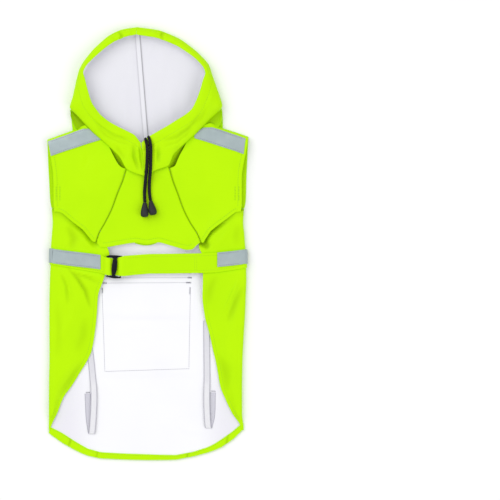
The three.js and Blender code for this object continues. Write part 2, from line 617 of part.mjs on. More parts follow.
// Three-bar slider: an outer frame and a centre bar, with the belt over the side bars
function addBuckle() {
  const { x, low, high, width, bar, sideBar, centreBar, above, height } = BUCKLE;
  const corner = 2;
  const rounded = (path, left, bottom, right, top, radius) => {
    path.moveTo(left + radius, bottom);
    path.lineTo(right - radius, bottom);
    path.absarc(right - radius, bottom + radius, radius, -Math.PI / 2, 0);
    path.lineTo(right, top - radius);
    path.absarc(right - radius, top - radius, radius, 0, Math.PI / 2);
    path.lineTo(left + radius, top);
    path.absarc(left + radius, top - radius, radius, Math.PI / 2, Math.PI);
    path.lineTo(left, bottom + radius);
    path.absarc(left + radius, bottom + radius, radius, Math.PI, 1.5 * Math.PI);
    return path;
  };
  const half = width / 2;
  const frame = rounded(new THREE.Shape(), x - half, low, x + half, high, corner);
  [-1, 1].forEach((side) => {
    const near = x + side * centreBar / 2;
    const far = x + side * (half - sideBar);
    frame.holes.push(rounded(new THREE.Path(),
      Math.min(near, far), low + bar, Math.max(near, far), high - bar, 0.8));
  });
  const slider = new THREE.ExtrudeGeometry(frame, { depth: height, bevelEnabled: false, curveSegments: 4 });
  slider.translate(0, 0, FRONT_TOP + above);
  add('belt_buckle', weld(slider), 'black');
}

// Leg straps: down from the wrap's edge, a short fold, and back up to a tack beside
const legStraps = {
  left: table(['x', 'y', 'z'], [[-76.5, -138, 2.2], [-76.5, -165, 2.2], [-76.6, -190, 2.5], [-75.6, -206, 3.4],
    [-75.6, -225, 3.7], [-76.8, -248, 3.7], [-78, -262, 3.7], [-78.6, -265.2, 3.2], [-79, -266.2, 2.6],
    [-79.4, -265.2, 1.9], [-80, -262, 1.7], [-82.6, -244, 1.5], [-84.2, -214, 1.5]]),
  right: table(['x', 'y', 'z'], [[82.5, -108, 2.2], [82.6, -130, 2.2], [83, -165, 2.4], [83.2, -190, 2.5],
    [82.8, -206, 3.4], [82.8, -225, 3.7], [83.6, -244, 3.7], [84.4, -254, 3.7], [85, -257.2, 3.2],
    [85.6, -258.2, 2.6], [86.2, -257.2, 1.9], [87, -254, 1.7], [90, -240, 1.5], [91.2, -212, 1.5]]),
};

function addLegStrap(name, rows) {
  const grid = rows.map((row) => [-0.5, 0.5].map(
    (share) => new THREE.Vector3(row.x + share * LEG_STRAP_WIDTH, row.y, row.z)));
  addPanel(name, grid, 'white', { facing: -1, low: -0.45, high: 0.45 });
}

// Drawstring ends: out of the channel at the throat, over the rim and down the chest
const cordPaths = {
  left: table(['x', 'y', 'above'], [[-2.5, 146.8, 3.5], [-2.3, 146, 6.7], [-1.8, 144.3, 9.3], [-0.9, 141, 10.5],
    [-0.1, 136.8, 10.4], [0.2, 130, 10], [0, 122, 9.4], [-0.4, 112, 8.7], [-1, 103, 7.9], [-1.8, 95, 6.3],
    [-2.8, 88, 4], [-3.6, 80, 2.7], [-4.1, 72, 2.6], [-3.9, 64, 2.9], [-3.6, 58.2, 3.1]]),
  right: table(['x', 'y', 'above'], [[1.9, 149.4, 3.5], [2.3, 148.5, 6.9], [3, 146.4, 9.7], [4, 142.6, 10.7],
    [4.8, 137.5, 10.4], [5, 130, 10], [4.9, 122, 9.4], [4.8, 112, 8.6], [4.4, 103, 7.4], [3.6, 95, 5.6],
    [3, 88, 3.8], [2.7, 80, 2.7], [2.8, 72, 2.6], [3.5, 66, 2.9], [4.35, 60.7, 3.1]]),
};

function cordTube(rows, radius, steps) {
  const centres = rows.map((row) => new THREE.Vector3(row.x, row.y, FRONT_TOP + row.above));
  const route = new THREE.CatmullRomCurve3(centres);
  const section = new THREE.Shape(Array.from({ length: 8 }, (_, i) => plan(
    radius * Math.cos(i * Math.PI / 4), radius * Math.sin(i * Math.PI / 4))));
  return weld(new THREE.ExtrudeGeometry(section, { steps, extrudePath: route }));
}

function addDrawstring(name, rows) {
  add(name, cordTube(rows, CORD_DIAMETER / 2, 30), 'cord');
}

// Room in the hood's rim where the two cords come up over it
function cutCordGaps(rim) {
  const radius = CORD_DIAMETER / 2 + 0.5;
  const cutters = Object.values(cordPaths).map((rows) => toSolid(cordTube(rows.slice(0, 5), radius, 10)));
  rim.geometry = fromSolid(cutters.reduce((solid, cutter) => solid.subtract(cutter), toSolid(rim.geometry)));
}

// Bell-shaped cord ends lying on the chest
const CORD_END_TILT = 0.22;
const CORD_END = table(['radius', 'along'], [
  [0, 0], [2.6, 0], [3, 1.2], [3.5, 3.5], [4.3, 6.5], [5.1, 10], [5.6, 13], [5.75, 15.5], [5.5, 17.6],
  [4.7, 19], [3.2, 19.8], [0, 20.1],
]);
const cordEnds = table(['name', 'x', 'y', 'above', 'turn'], [
  ['cord_end_left', -3.6, 57.35, 3.1, -0.01],
  ['cord_end_right', 4.5, 59.9, 3.1, 0.215],
]);

function addCordEnds() {
  cordEnds.forEach(({ name, x, y, above, turn }) => {
    const profile = CORD_END.map((row) => plan(row.radius, row.along));
    const bell = new THREE.LatheGeometry(profile, 14).rotateX(Math.PI);
    bell.rotateX(-CORD_END_TILT);
    bell.rotateZ(turn);
    bell.translate(x, y, FRONT_TOP + above);
    add(name, weld(bell), 'black');
  });
}

addBack();
addWraps();
addBackTrim();
addHemFacing();
addFront('front_left', frontEdges.left, -1);
addFront('front_right', frontEdges.right, 1);
addChest();
addShoulderTapes();
addHood(-1, rimLeft, 'left');
addHood(1, rimRight, 'right');
cutCordGaps(coat.getObjectByName('hood_rim_right'));
addHoodTape();
addBelt();
addBuckle();
addLegStrap('leg_strap_left', legStraps.left);
addLegStrap('leg_strap_right', legStraps.right);
addDrawstring('drawstring_left', cordPaths.left);
addDrawstring('drawstring_right', cordPaths.right);
addCordEnds();

export default coat;
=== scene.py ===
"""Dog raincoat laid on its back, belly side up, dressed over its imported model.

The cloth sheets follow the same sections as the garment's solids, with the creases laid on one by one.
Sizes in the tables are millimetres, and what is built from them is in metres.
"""

import json
import math

import bpy
import numpy as np
from bpy.props import FloatProperty, FloatVectorProperty, PointerProperty
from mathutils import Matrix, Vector
from mathutils.bvhtree import BVHTree

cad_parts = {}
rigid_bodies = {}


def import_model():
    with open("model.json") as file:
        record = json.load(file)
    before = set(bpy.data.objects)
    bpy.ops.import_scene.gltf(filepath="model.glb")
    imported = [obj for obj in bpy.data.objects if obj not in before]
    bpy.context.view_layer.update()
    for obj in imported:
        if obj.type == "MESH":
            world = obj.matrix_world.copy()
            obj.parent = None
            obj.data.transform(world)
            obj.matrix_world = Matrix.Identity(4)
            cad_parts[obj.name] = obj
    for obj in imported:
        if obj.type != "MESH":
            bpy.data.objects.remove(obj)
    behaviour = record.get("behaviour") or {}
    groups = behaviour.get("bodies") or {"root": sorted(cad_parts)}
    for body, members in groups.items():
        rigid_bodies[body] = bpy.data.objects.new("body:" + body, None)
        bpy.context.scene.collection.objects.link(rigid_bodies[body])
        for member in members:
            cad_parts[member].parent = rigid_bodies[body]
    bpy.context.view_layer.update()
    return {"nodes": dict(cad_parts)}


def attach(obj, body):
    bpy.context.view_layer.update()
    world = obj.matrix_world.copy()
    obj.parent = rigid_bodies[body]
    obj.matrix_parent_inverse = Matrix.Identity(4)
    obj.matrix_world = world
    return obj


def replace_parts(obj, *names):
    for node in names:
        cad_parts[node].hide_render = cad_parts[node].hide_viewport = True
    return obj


bl_info = {
    "name": "Dog raincoat",
    "version": (1, 0, 0),
    "blender": (4, 5, 0),
    "location": "View3D > Sidebar > Raincoat",
    "description": "Builds the cloth, trim, cords and stage of a dog raincoat",
    "category": "Object",
}

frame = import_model()

MM = 0.001
# Wall of the cloth, the gap between sewn pieces and the furrow along a chest seam
CLOTH = 1.0
SEAM_GAP = 0.3
SEAM_FURROW = 0.12
LAYER = CLOTH + SEAM_GAP
# Heights: of a side fold, of the front panels, of a rim's edge on them, and of the shoulder seams
FOLD_RISE = 9.4
FOLD_RADIUS = FOLD_RISE / 2
FRONT_TOP = FOLD_RISE + LAYER
ON_FRONT = FRONT_TOP + 1.8
SEAM_FOOT = 1.9
TAPE_WIDTH = 20
BELT_WIDTH = 25
LEG_STRAP_WIDTH = 8.5
CHANNEL_WIDTH = 13
# From an edge to its row of stitches, which lies in a dip
HEM_WIDTH = {"wrap": 4.6, "front": 4.4, "chest": 6.2, "belt": 3.4}
# The hood's centre seam runs from the neck, at x 0, to the crown
CROWN_X, CROWN_Y, NECK_Y = -14.7, 297, 115
# A sheet's sides may not be declared under 10 mm
LEAST_SHEET_SIDE = 10.2
# How far a cloth's edge bulges, as a share of its wall
EDGE_BULGE = 0.25
SHARP_ANGLE = math.radians(40)
SIDES = {"left": -1, "right": 1}
REFLECTIVE = {"outside": "reflective_tape", "inside": "reflective_tape", "slot": "reflective"}
SLIT = {"width": 1.4, "low": 84, "high": 112}
POCKET = {"left": -64, "right": 63, "low": -178, "high": -50, "flap_low": -96, "flap_high": -46, "ramp": 11}
BACK_TAPE = {"left": -120, "right": 120, "low": -2, "high": 22, "ramp": 9}
# The point of the floor in the middle of the picture, in metres
PICTURE_MIDDLE = (0.1435, -0.0084)


def table(columns, rows):
    """Named columns of a table whose rows are sections of the garment."""
    return {name: np.array([row[i] for row in rows], float) for i, name in enumerate(columns.split())}


outline = table("y left right inner_left inner_right edge_top", [
    (-262, -139.2, 134.7, -138, 133.5, 4), (-250, -138.9, 133.6, -133.5, 127.6, 4),
    (-238, -138.7, 132.4, -127.5, 119, 4), (-215, -138.6, 132.4, -118.3, 108, 4),
    (-200, -138.5, 132.4, -107.5, 102, 4), (-183, -138.3, 132.6, -97, 99, 4),
    (-164, -137.8, 133, -85.3, 95.5, 4), (-150, -137.8, 133.6, -79, 92, 4),
    (-127, -137.9, 134.8, -74.6, 87, 4.1), (-100, -138, 136.5, -71.5, 80, 5),
    (-73, -137.8, 137.6, -69.6, 77, 7), (-50, -137.2, 138.4, -61.8, 77.6, 9),
    (-30, -136.4, 138, -56, 77.2, 9.4), (-14, -136, 137.8, -53.5, 76, 9.4),
    (-4, -135.8, 136.8, -57, 72, 9.4), (14, -134.4, 135.5, -78, 76, 9.4),
    (30, -133.4, 134, -98, 100, 9.4), (46, -134.5, 134.8, -118, 119, 9.4),
    (62, -137, 137.4, -118, 119, 9.4), (92, -138.6, 138.2, -118, 119, 9.4),
    (118, -140, 139.5, -118, 119, 9.4), (150, -141, 141, -118, 119, 9.4),
])
hem = table("x outer inner", [
    (-139, -266, -256), (-136, -268.5, -257.5), (-120, -280, -265.5), (-104, -289, -276), (-94, -294, -282),
    (-84, -298, -287.5), (-68, -301.5, -292), (-64, -301.8, -292.6), (-40, -303, -294), (-27, -303.5, -294.6),
    (-14, -303.8, -295), (0, -304, -295.5), (14, -304, -296), (27, -303.9, -296.3), (40, -303.5, -296.4),
    (63, -299, -292), (67, -298.2, -291), (84, -293.5, -285.5), (94, -290, -280.5), (104, -285.5, -274),
    (120, -274.5, -262.5), (131, -263.5, -253), (134.5, -260.5, -251.5),
])
neck = table("x y", [
    (-141, 146.5), (-120, 153.8), (-104, 160), (-94, 149.5), (-84, 143), (-68, 134), (-64, 132), (-40, 121.4),
    (-27, 118), (-14, 116), (0, 115), (14, 115.6), (27, 116.8), (40, 118.6), (63, 130), (67, 132.4),
    (84, 144), (94, 151.5), (104, 163), (120, 158), (141, 150.5),
])
chest_seams = table("y left right", [
    (3, -72, 74.8), (14, -68.5, 70), (30, -59.5, 59.8), (49, -50, 50.2), (70, -42.3, 42.5), (90, -34.2, 35),
    (104, -29.8, 31), (117, -24, 26),
])
RIM_COLUMNS = "out_x out_y face_x face_y face_top fold_top under tuck"
rims = {
    "left": table(RIM_COLUMNS, [
        (-3.6, 95, -9.2, 141.4, 17.4, 15, ON_FRONT, 12), (-18, 99.5, -17.7, 152, 18, 15, ON_FRONT, 12),
        (-29.5, 105.5, -30, 158.6, 18.6, 14.8, 6.5, -6), (-39.4, 122.4, -41, 164, 19.2, 14.6, 4.2, -15),
        (-57.2, 139.8, -54.2, 171.4, 20, 14.8, 6, -4), (-76.7, 157, -65.7, 181, 21, 14.8, 5, -17),
        (-98.7, 180.2, -76, 195, 22, 13, 2.2, -9), (-108.6, 191, -80, 205, 22.4, 11.2, 2.4, 1.5),
        (-104.7, 206.5, -83.2, 216, 22, 9.6, 0, 7), (-100.5, 226, -86.7, 230, 21, 9, 0, 7),
        (-96.2, 243, -89.2, 240.4, 20, 8.5, 0, 7), (-89.3, 256, -84.2, 250.5, 19, 8, 0, 7),
        (-75.7, 273, -71.2, 263.5, 17.5, 7.6, 0, 7), (-55.7, 291, -52.7, 278.8, 16, 7, 0, 7),
        (-36.7, 300.5, -34.7, 288.5, 15, 6.6, 0, 7), (-15, 304, -16.1, 292.9, 14.5, 6.5, 0, 7),
    ]),
    "right": table(RIM_COLUMNS, [
        (-2.8, 95, -8.4, 141.4, 17.4, 15, ON_FRONT, 12), (11.6, 103, 1.5, 149.5, 18, 15, ON_FRONT, 12),
        (29.5, 110, 13.5, 156.5, 18.6, 14.8, 6.5, -6), (37, 125.5, 27.5, 164.5, 19.2, 14.6, 4.2, -15),
        (51.5, 140, 40.5, 172.5, 20, 14.8, 6, -4), (68, 155, 53.5, 180.5, 21, 14.8, 5, -17),
        (88, 175.5, 62.5, 188.5, 22, 13, 2.2, -15.6), (104.3, 191.5, 69, 201, 22.4, 11.2, 2.4, 1.5),
        (101.5, 206, 74.5, 216, 22, 9.6, 0, 7), (96, 222, 78, 229, 21, 9, 0, 7),
        (90.7, 237, 81, 238.5, 20, 8.5, 0, 7), (85, 252.5, 77.5, 248, 19, 8, 0, 7),
        (69, 269.5, 64.5, 261.5, 17.5, 7.6, 0, 7), (45, 287.5, 41.5, 276.8, 16, 7, 0, 7),
        (16, 299.5, 14.5, 287.8, 15, 6.6, 0, 7), (-14.4, 304, -15.5, 292.9, 14.5, 6.5, 0, 7),
    ]),
}
# Rows of the rims where they come down to the surface, where they turn the hood's corner, and at its crown
SURFACE_ROW = 7.5
CORNER_ROW = 11
CROWN_ROW = 15
hood_side = {
    "left": [(-105.6, 160.3), (-106.9, 172), (-107.7, 183), (-107.5, 189)],
    "right": [(105.2, 163.2), (105.1, 174), (104.5, 184), (103.8, 190)],
}
front_edges = {
    "left": {
        "armhole": [(-130.6, 45.5), (-131, 52), (-131.4, 60), (-131.6, 72), (-131.6, 86), (-132.2, 100),
                    (-134.4, 115), (-137, 128), (-138.9, 137), (-140, 142), (-141, 146.5)],
        "top": [(-141, 146.5), (-122.5, 153.2), (-104, 160), (-88, 167), (-72, 161), (-58, 145), (-51.4, 131),
                (-46.8, 121.5), (-41, 111), (-36, 106.5), (-31.5, 105)],
        "lower": [(-130.6, 45.5), (-123, 45), (-118, 42.4), (-105, 31.5), (-90, 20), (-82, 10), (-76.5, 3.5),
                  (-72, 3)],
    },
    "right": {
        "armhole": [(130.6, 45.5), (131.6, 52), (131.8, 60), (131.8, 72), (131.8, 86), (132, 100),
                    (134.8, 115), (137.4, 128), (139, 137), (140, 143), (141, 150.5)],
        "top": [(141, 150.5), (122.5, 156.8), (104, 163), (88, 170), (72, 163), (58, 149), (50.5, 134),
                (45.4, 125), (41, 115), (39, 108.5), (31, 106)],
        "lower": [(130.6, 45.5), (123.5, 45), (117, 40), (103, 29.8), (88.5, 18.5), (81, 7), (77.5, 1),
                  (74.8, 3)],
    },
}
chest_hem = [(-72, 3), (-66, -5), (-57.7, -4.8), (-44, -2.2), (-27, 0.8), (-16, 2.2), (-0.7, -0.6),
             (16.4, 2.6), (37.2, -3.6), (53.5, -8.3), (62.6, -7.8), (69.7, -1), (74.8, 3)]
belt_edges = table("x low high above", [
    (-138, -28.5, -5.9, 0), (-120, -31, -8.6, 0), (-100, -34.6, -11, 0), (-80, -38, -13.4, 0),
    (-66, -40.3, -15.3, 0), (-61.4, -41.6, -16.8, 0.8), (-58.4, -43, -18.8, 3.6), (-53.8, -43.6, -19.6, 3.6),
    (-51.6, -43.8, -19.8, 1.2), (-49.8, -43.8, -19.8, -0.1), (-42.2, -43.8, -19.8, -0.1),
    (-40.4, -44.2, -19, 1.2), (-38.2, -44.4, -18.6, 3.6), (-33.6, -44.8, -17, 3.6), (-30.6, -44.6, -16.6, 2.6),
    (-20, -43.2, -15.8, 0.9), (3, -41.2, -14.2, 0.1), (30, -41, -13.9, 0.1), (66, -40.5, -13.4, 0),
    (80, -40.4, -13, 0), (98, -39.6, -11.9, 0), (118, -36.6, -9.9, 0), (139, -33.2, -7.4, 0),
])
leg_straps = {
    "left": [(-82.5, -140, 2.2), (-79.5, -164, 2.2), (-77, -190, 2.5), (-75.6, -206, 3.4), (-75.6, -225, 3.7),
             (-76.8, -248, 3.7), (-78, -262, 3.7), (-78.6, -265.2, 3.2), (-79, -266.2, 2.6),
             (-79.4, -265.2, 1.9), (-80, -262, 1.7), (-82.6, -244, 1.5), (-84.3, -210.2, 1.5)],
    "right": [(82.5, -108, 2.2), (82.6, -130, 2.2), (83, -165, 2.4), (83.2, -190, 2.5), (82.8, -206, 3.4),
              (82.8, -225, 3.7), (83.6, -244, 3.7), (84.4, -254, 3.7), (85, -257.2, 3.2), (85.6, -258.2, 2.6),
              (86.2, -257.2, 1.9), (87, -254, 1.7), (90, -240, 1.5), (91.3, -208.6, 1.5)],
}
cord_paths = {
    "left": [(-2.5, 146.8, 3.5), (-2.3, 146, 6.7), (-1.8, 144.3, 9.3), (-0.9, 141, 10.5), (-0.1, 136.8, 10.4),
             (0.2, 130, 10), (0, 122, 9.4), (-0.4, 112, 8.7), (-1, 103, 7.9), (-1.8, 95, 6.3), (-2.8, 88, 4),
             (-3.6, 80, 2.7), (-4.1, 72, 2.6), (-3.9, 64, 2.9), (-3.6, 58.2, 3.1)],
    "right": [(1.9, 149.4, 3.5), (2.3, 148.5, 6.9), (3, 146.4, 9.7), (4, 142.6, 10.7), (4.8, 137.5, 10.4),
              (5, 130, 10), (4.9, 122, 9.4), (4.8, 112, 8.6), (4.4, 103, 7.4), (3.6, 95, 5.6), (3, 88, 3.8),
              (2.7, 80, 2.7), (2.8, 72, 2.6), (3.5, 66, 2.9), (4.35, 60.7, 3.1)],
}


def smoothstep(value, low, high):
    share = np.clip((np.asarray(value, float) - low) / (high - low), 0, 1)
    return share * share * (3 - 2 * share)


def lerp(a, b, share):
    return a + (b - a) * share


def smooth_column(rows, key, column):
    """Values between a table's rows, on a curve that never overshoots them."""
    at, values = rows[key], rows[column]
    slopes = np.diff(values) / np.diff(at)
    product = slopes[:-1] * slopes[1:]
    total = np.where(product > 0, slopes[:-1] + slopes[1:], 1.0)
    tangents = np.concatenate([slopes[:1], np.where(product > 0, 2 * product / total, 0.0), slopes[-1:]])

    def curve(place):
        place = np.asarray(place, float)
        i = np.clip(np.searchsorted(at, place) - 1, 0, len(at) - 2)
        width = at[i + 1] - at[i]
        t = np.clip((place - at[i]) / width, 0, 1)
        low = (1 + 2 * t) * (1 - t) ** 2 * values[i] + t * (1 - t) ** 2 * width * tangents[i]
        return low + t * t * (3 - 2 * t) * values[i + 1] + t * t * (t - 1) * width * tangents[i + 1]

    return curve


def line_column(rows, key, column):
    """Straight lines between a table's rows."""
    return lambda place: np.interp(place, rows[key], rows[column])


outline_left = smooth_column(outline, "y", "left")
outline_right = smooth_column(outline, "y", "right")
inner_left = smooth_column(outline, "y", "inner_left")
inner_right = smooth_column(outline, "y", "inner_right")
edge_top = smooth_column(outline, "y", "edge_top")
hem_outer = line_column(hem, "x", "outer")
hem_inner = line_column(hem, "x", "inner")
neck_line = line_column(neck, "x", "y")
seam_left = smooth_column(chest_seams, "y", "left")
seam_right = smooth_column(chest_seams, "y", "right")
belt_low = line_column(belt_edges, "x", "low")
belt_high = line_column(belt_edges, "x", "high")
belt_above = line_column(belt_edges, "x", "above")
outer_edge = {-1: outline_left, 1: outline_right}
inner_edge = {-1: inner_left, 1: inner_right}
chest_seam = {-1: seam_left, 1: seam_right}


def hood_seam(y):
    """Where the hood's centre seam runs, slanting from the neck to the crown."""
    return CROWN_X * (y - NECK_Y) / (CROWN_Y - NECK_Y)


def travelled(path):
    """The way along a path from its start to each of its points."""
    return np.concatenate([[0], np.cumsum(np.linalg.norm(np.diff(path, axis=0), axis=1))])


def sampled(values, steps, where):
    """Rows of values, given at steps along a path, at other places along it."""
    return np.stack([np.interp(where, steps, column) for column in values.T], axis=1)


def ridge(distance, place, width):
    """A rounded ridge of height 1 at a place, by the distance from an edge."""
    return np.exp(-((distance - place) / width) ** 2)


def crease(x, y, path, width, height, lean=0.0):
    """A soft ridge, or a trough of negative height, along a path, fading to both ends.

    Lean makes one flank steeper.
    """
    path = np.array(path, float)
    steps = np.linalg.norm(np.diff(path, axis=0), axis=1)
    starts = travelled(path)
    best = np.full(np.shape(x), 1e9)
    along = np.zeros(np.shape(x))
    across = np.zeros(np.shape(x))
    for (ax, ay), (bx, by), step, start in zip(path[:-1], path[1:], steps, starts):
        dx, dy = (bx - ax) / step, (by - ay) / step
        t = np.clip((x - ax) * dx + (y - ay) * dy, 0, step)
        off_x, off_y = x - ax - dx * t, y - ay - dy * t
        distance = np.hypot(off_x, off_y)
        side = np.sign(dx * off_y - dy * off_x)
        nearer = distance < best
        best = np.where(nearer, distance, best)
        along = np.where(nearer, (start + t) / starts[-1], along)
        across = np.where(nearer, side, across)
    fade = np.sin(np.pi * np.clip(along, 0, 1)) ** 0.8
    return height * ridge(best, 0, width * (1 + lean * across)) * fade


def creases(x, y, rows):
    """Several creases together."""
    return sum((crease(x, y, *row) for row in rows), np.zeros(np.shape(x)))


def swell(x, y, size, height, turn=0.0):
    """A slow, uneven undulation of cloth that lies without tension."""
    a, b = x * math.cos(turn) + y * math.sin(turn), y * math.cos(turn) - x * math.sin(turn)
    across = np.sin(a / size + 1.3 * np.sin(b / (1.7 * size) + 0.6))
    along = np.cos(b / (1.3 * size) + 0.9 * np.sin(a / (2.1 * size)))
    return height * (across * along)


def smooth_line(points, count, passes=3):
    """An edge resampled evenly and eased at its kinks, with its ends kept."""
    points = np.array(points, float)
    steps = travelled(points)
    line = sampled(points, steps, np.linspace(0, steps[-1], count))
    for _ in range(passes):
        line[1:-1] = (line[:-2] + 2 * line[1:-1] + line[2:]) / 4
    return line


def patch(bottom, top, left, right):
    """A plan grid between four edges."""
    mean = lambda a, b: (travelled(a) / travelled(a)[-1] + travelled(b) / travelled(b)[-1]) / 2
    u = mean(bottom, top)[None, :, None]
    v = mean(left, right)[:, None, None]
    bottom, top = bottom[None], top[None]
    left, right = left[:, None], right[:, None]
    corners = ((1 - u) * (1 - v) * bottom[:, :1] + u * (1 - v) * bottom[:, -1:]
               + (1 - u) * v * top[:, :1] + u * v * top[:, -1:])
    return (1 - v) * bottom + v * top + (1 - u) * left + u * right - corners


def catmull(points, tension):
    """A curve through points, sampled by row number."""
    points = np.array(points, float)
    ends = np.vstack([2 * points[0] - points[1], points, 2 * points[-1] - points[-2]])

    def curve(place):
        place = np.asarray(place, float)
        i = np.clip(np.floor(place).astype(int), 0, len(points) - 2)
        t = (place - i)[..., None]
        p0, p1, p2, p3 = ends[i], ends[i + 1], ends[i + 2], ends[i + 3]
        t0, t1 = tension * (p2 - p0), tension * (p3 - p1)
        bend, turn = -3 * p1 + 3 * p2 - 2 * t0 - t1, 2 * p1 - 2 * p2 + t0 + t1
        return p1 + t0 * t + bend * t ** 2 + turn * t ** 3

    return curve


def grid_normals(grid, facing):
    """Directions out of a grid's face, turned over where facing is -1."""
    across = np.gradient(grid, axis=1)
    along = np.gradient(grid, axis=0)
    normals = np.cross(across, along)
    return facing * normals / np.maximum(np.linalg.norm(normals, axis=2, keepdims=True), 1e-12)


class Socket:
    """One output of a material's nodes, with arithmetic on it."""

    def __init__(self, finish, link):
        self.finish, self.link = finish, link

    def __add__(self, other):
        return self.finish.maths("ADD", self, other)

    def __sub__(self, other):
        return self.finish.maths("SUBTRACT", self, other)

    def __rsub__(self, other):
        return self.finish.maths("SUBTRACT", other, self)

    def __mul__(self, other):
        return self.finish.maths("MULTIPLY", self, other)

    __radd__ = __add__
    __rmul__ = __mul__

    def size(self):
        return self.finish.maths("ABSOLUTE", self)

    def most(self, other):
        return self.finish.maths("MAXIMUM", self, other)


class Finish:
    """A procedural material on one Principled shader."""

    def __init__(self, name, **constants):
        self.material = bpy.data.materials.new(name)
        self.material.use_nodes = True
        self.tree = self.material.node_tree
        self.shader = self.tree.nodes["Principled BSDF"]
        for socket, value in constants.items():
            self.shader.inputs[socket.replace("_", " ").title().replace("Ior", "IOR")].default_value = value

    def add(self, kind, settings=None, output=0, **values):
        node = self.tree.nodes.new(kind)
        for name, value in (settings or {}).items():
            setattr(node, name, value)
        for name, value in values.items():
            socket = int(name[1:]) if name[1:].isdigit() else name.replace("_", " ").title()
            self.put(node.inputs[socket], value)
        return Socket(self, node.outputs[output])

    def put(self, socket, value):
        if isinstance(value, Socket):
            self.tree.links.new(value.link, socket)
        else:
            socket.default_value = value

    def maths(self, operation, *values):
        sockets = {f"i{n}": value for n, value in enumerate(values)}
        return self.add("ShaderNodeMath", {"operation": operation}, **sockets)

    def place(self, scale=(1, 1, 1), surface=False):
        """Object coordinates, or the piece's own map in metres, scaled."""
        source = self.add("ShaderNodeTexCoord", output="UV" if surface else "Object")
        return self.add("ShaderNodeMapping", vector=source, scale=scale)

    def coordinate(self, place, axis):
        return self.add("ShaderNodeSeparateXYZ", output="xyz".index(axis), i0=place)

    def noise(self, place, scale, detail, roughness=0.5):
        return self.add("ShaderNodeTexNoise", vector=place, scale=scale, detail=detail, roughness=roughness)

    def wave(self, place, direction, scale, distortion=0.0):
        return self.add("ShaderNodeTexWave", {"bands_direction": direction}, vector=place, scale=scale,
                        distortion=distortion)

    def ramp(self, value, low, high):
        return self.add("ShaderNodeMapRange", {"interpolation_type": "SMOOTHSTEP"},
                        value=value, i1=low, i2=high, i3=0.0, i4=1.0)

    def blend(self, share, first, second):
        colour = lambda c: c if isinstance(c, Socket) else (*c, 1.0)
        return self.add("ShaderNodeMix", {"data_type": "RGBA"}, output=2, i0=share, i6=colour(first),
                        i7=colour(second))

    def relief(self, height, distance, strength):
        bump = self.add("ShaderNodeBump", height=height, distance=distance, strength=strength)
        self.put(self.shader.inputs["Normal"], bump)

    def colour(self, value):
        self.put(self.shader.inputs["Base Color"], value)

    def rough(self, value):
        self.put(self.shader.inputs["Roughness"], value)


def shade(colour, factor, warm=(1.0, 1.0, 1.0)):
    return tuple(c * factor * w for c, w in zip(colour, warm))


def shell_finish(neon):
    """The coated outer cloth, darkened as painted shade where it is tucked in."""
    shell = Finish("neon_shell", specular_ior_level=0.06)
    spot = shell.place()
    broad = shell.ramp(shell.noise(spot, 14, 3), 0.35, 0.7)
    fine = shell.noise(spot, 420, 3, 0.6)
    weave = shell.wave(spot, "DIAGONAL", 520.0, 0.6)
    hollow = shell.add("ShaderNodeAttribute", {"attribute_name": "hollow"}, output=2)
    body = shell.blend(broad * 0.6, neon, shade(neon, 0.955, (0.97, 1, 1)))
    # Painted shade: the attribute read above darkens the shell towards a third of its colour in tucks, seams
    # and troughs
    shell.colour(shell.blend(hollow, body, shade(neon, 0.34)))
    shell.rough(0.44 + fine * 0.14)
    shell.relief(fine * 0.6 + weave * 0.4, 0.00012, 0.5)


def lining_finish(white):
    """The cloth's white inside, with painted shade beside the wraps towards the hem."""
    lining = Finish("white_lining", specular_ior_level=0.2)
    spot = lining.place()
    broad = lining.ramp(lining.noise(spot, 11, 3), 0.35, 0.72)
    fine = lining.noise(spot, 500, 3, 0.6)
    body = lining.blend(broad * 0.5, white, shade(white, 0.97, (0.995, 0.995, 1.01)))
    # Painted shade: greyer and a little lilac beside the wraps towards the hem
    to_side = lining.ramp(lining.coordinate(spot, "x").size(), 0.066, 0.118)
    to_hem = lining.ramp(lining.coordinate(spot, "y"), -0.12, -0.215)
    lining.colour(lining.blend(to_side * to_hem * 0.8, body, shade(white, 0.86, (1, 0.98, 1.04))))
    lining.rough(0.55 + fine * 0.14)
    lining.relief(fine, 0.00009, 0.4)


def hood_finish(inside):
    """The hood's inside, duller than the lining as painted shade."""
    hood = Finish("hood_lining", specular_ior_level=0.15)
    spot = hood.place()
    broad = hood.ramp(hood.noise(spot, 9, 3), 0.35, 0.72)
    fine = hood.noise(spot, 500, 3, 0.6)
    hood.colour(hood.blend(broad * 0.6, inside, shade(inside, 0.975, (0.995, 0.995, 1.01))))
    hood.rough(0.6 + fine * 0.14)
    hood.relief(fine, 0.00009, 0.4)


def seam_tape_finish(inside):
    """The tape on the hood's centre seam, shaded along both its edges."""
    sealing = Finish("seam_sealing_tape", specular_ior_level=0.2)
    across = sealing.coordinate(sealing.place(surface=True), "x")
    left_edge = 1 - sealing.ramp(across, 0.0004, 0.0015)
    right_edge = sealing.ramp(across, 0.0054, 0.0066)
    fine = sealing.noise(sealing.place(), 500, 3, 0.6)
    # Its base colour is the hood's inside, the lining's white darkened as painted shade
    body = sealing.blend(fine * 0.4, shade(inside, 1.03), inside)
    body = sealing.blend(left_edge * 0.6, body, shade(inside, 0.7))
    sealing.colour(sealing.blend(right_edge * 0.85, body, shade(inside, 0.45)))
    sealing.rough(0.5 + fine * 0.14)
    sealing.relief(fine, 0.00008, 0.4)


def tape_finish(grey):
    """Reflective tape with its fine glass beads."""
    tape = Finish("reflective_tape", metallic=0.25)
    spot = tape.place(surface=True)
    beads = tape.add("ShaderNodeTexVoronoi", vector=spot, scale=1500.0)
    patchy = tape.ramp(tape.noise(spot, 45, 4, 0.6), 0.3, 0.75)
    tape.colour(tape.blend(patchy, shade(grey, 0.9, (0.98, 1, 1)), shade(grey, 1.03, (0.99, 1, 0.99))))
    tape.rough(0.34 + beads * 0.25)
    tape.relief(beads, 0.0001, 0.5)


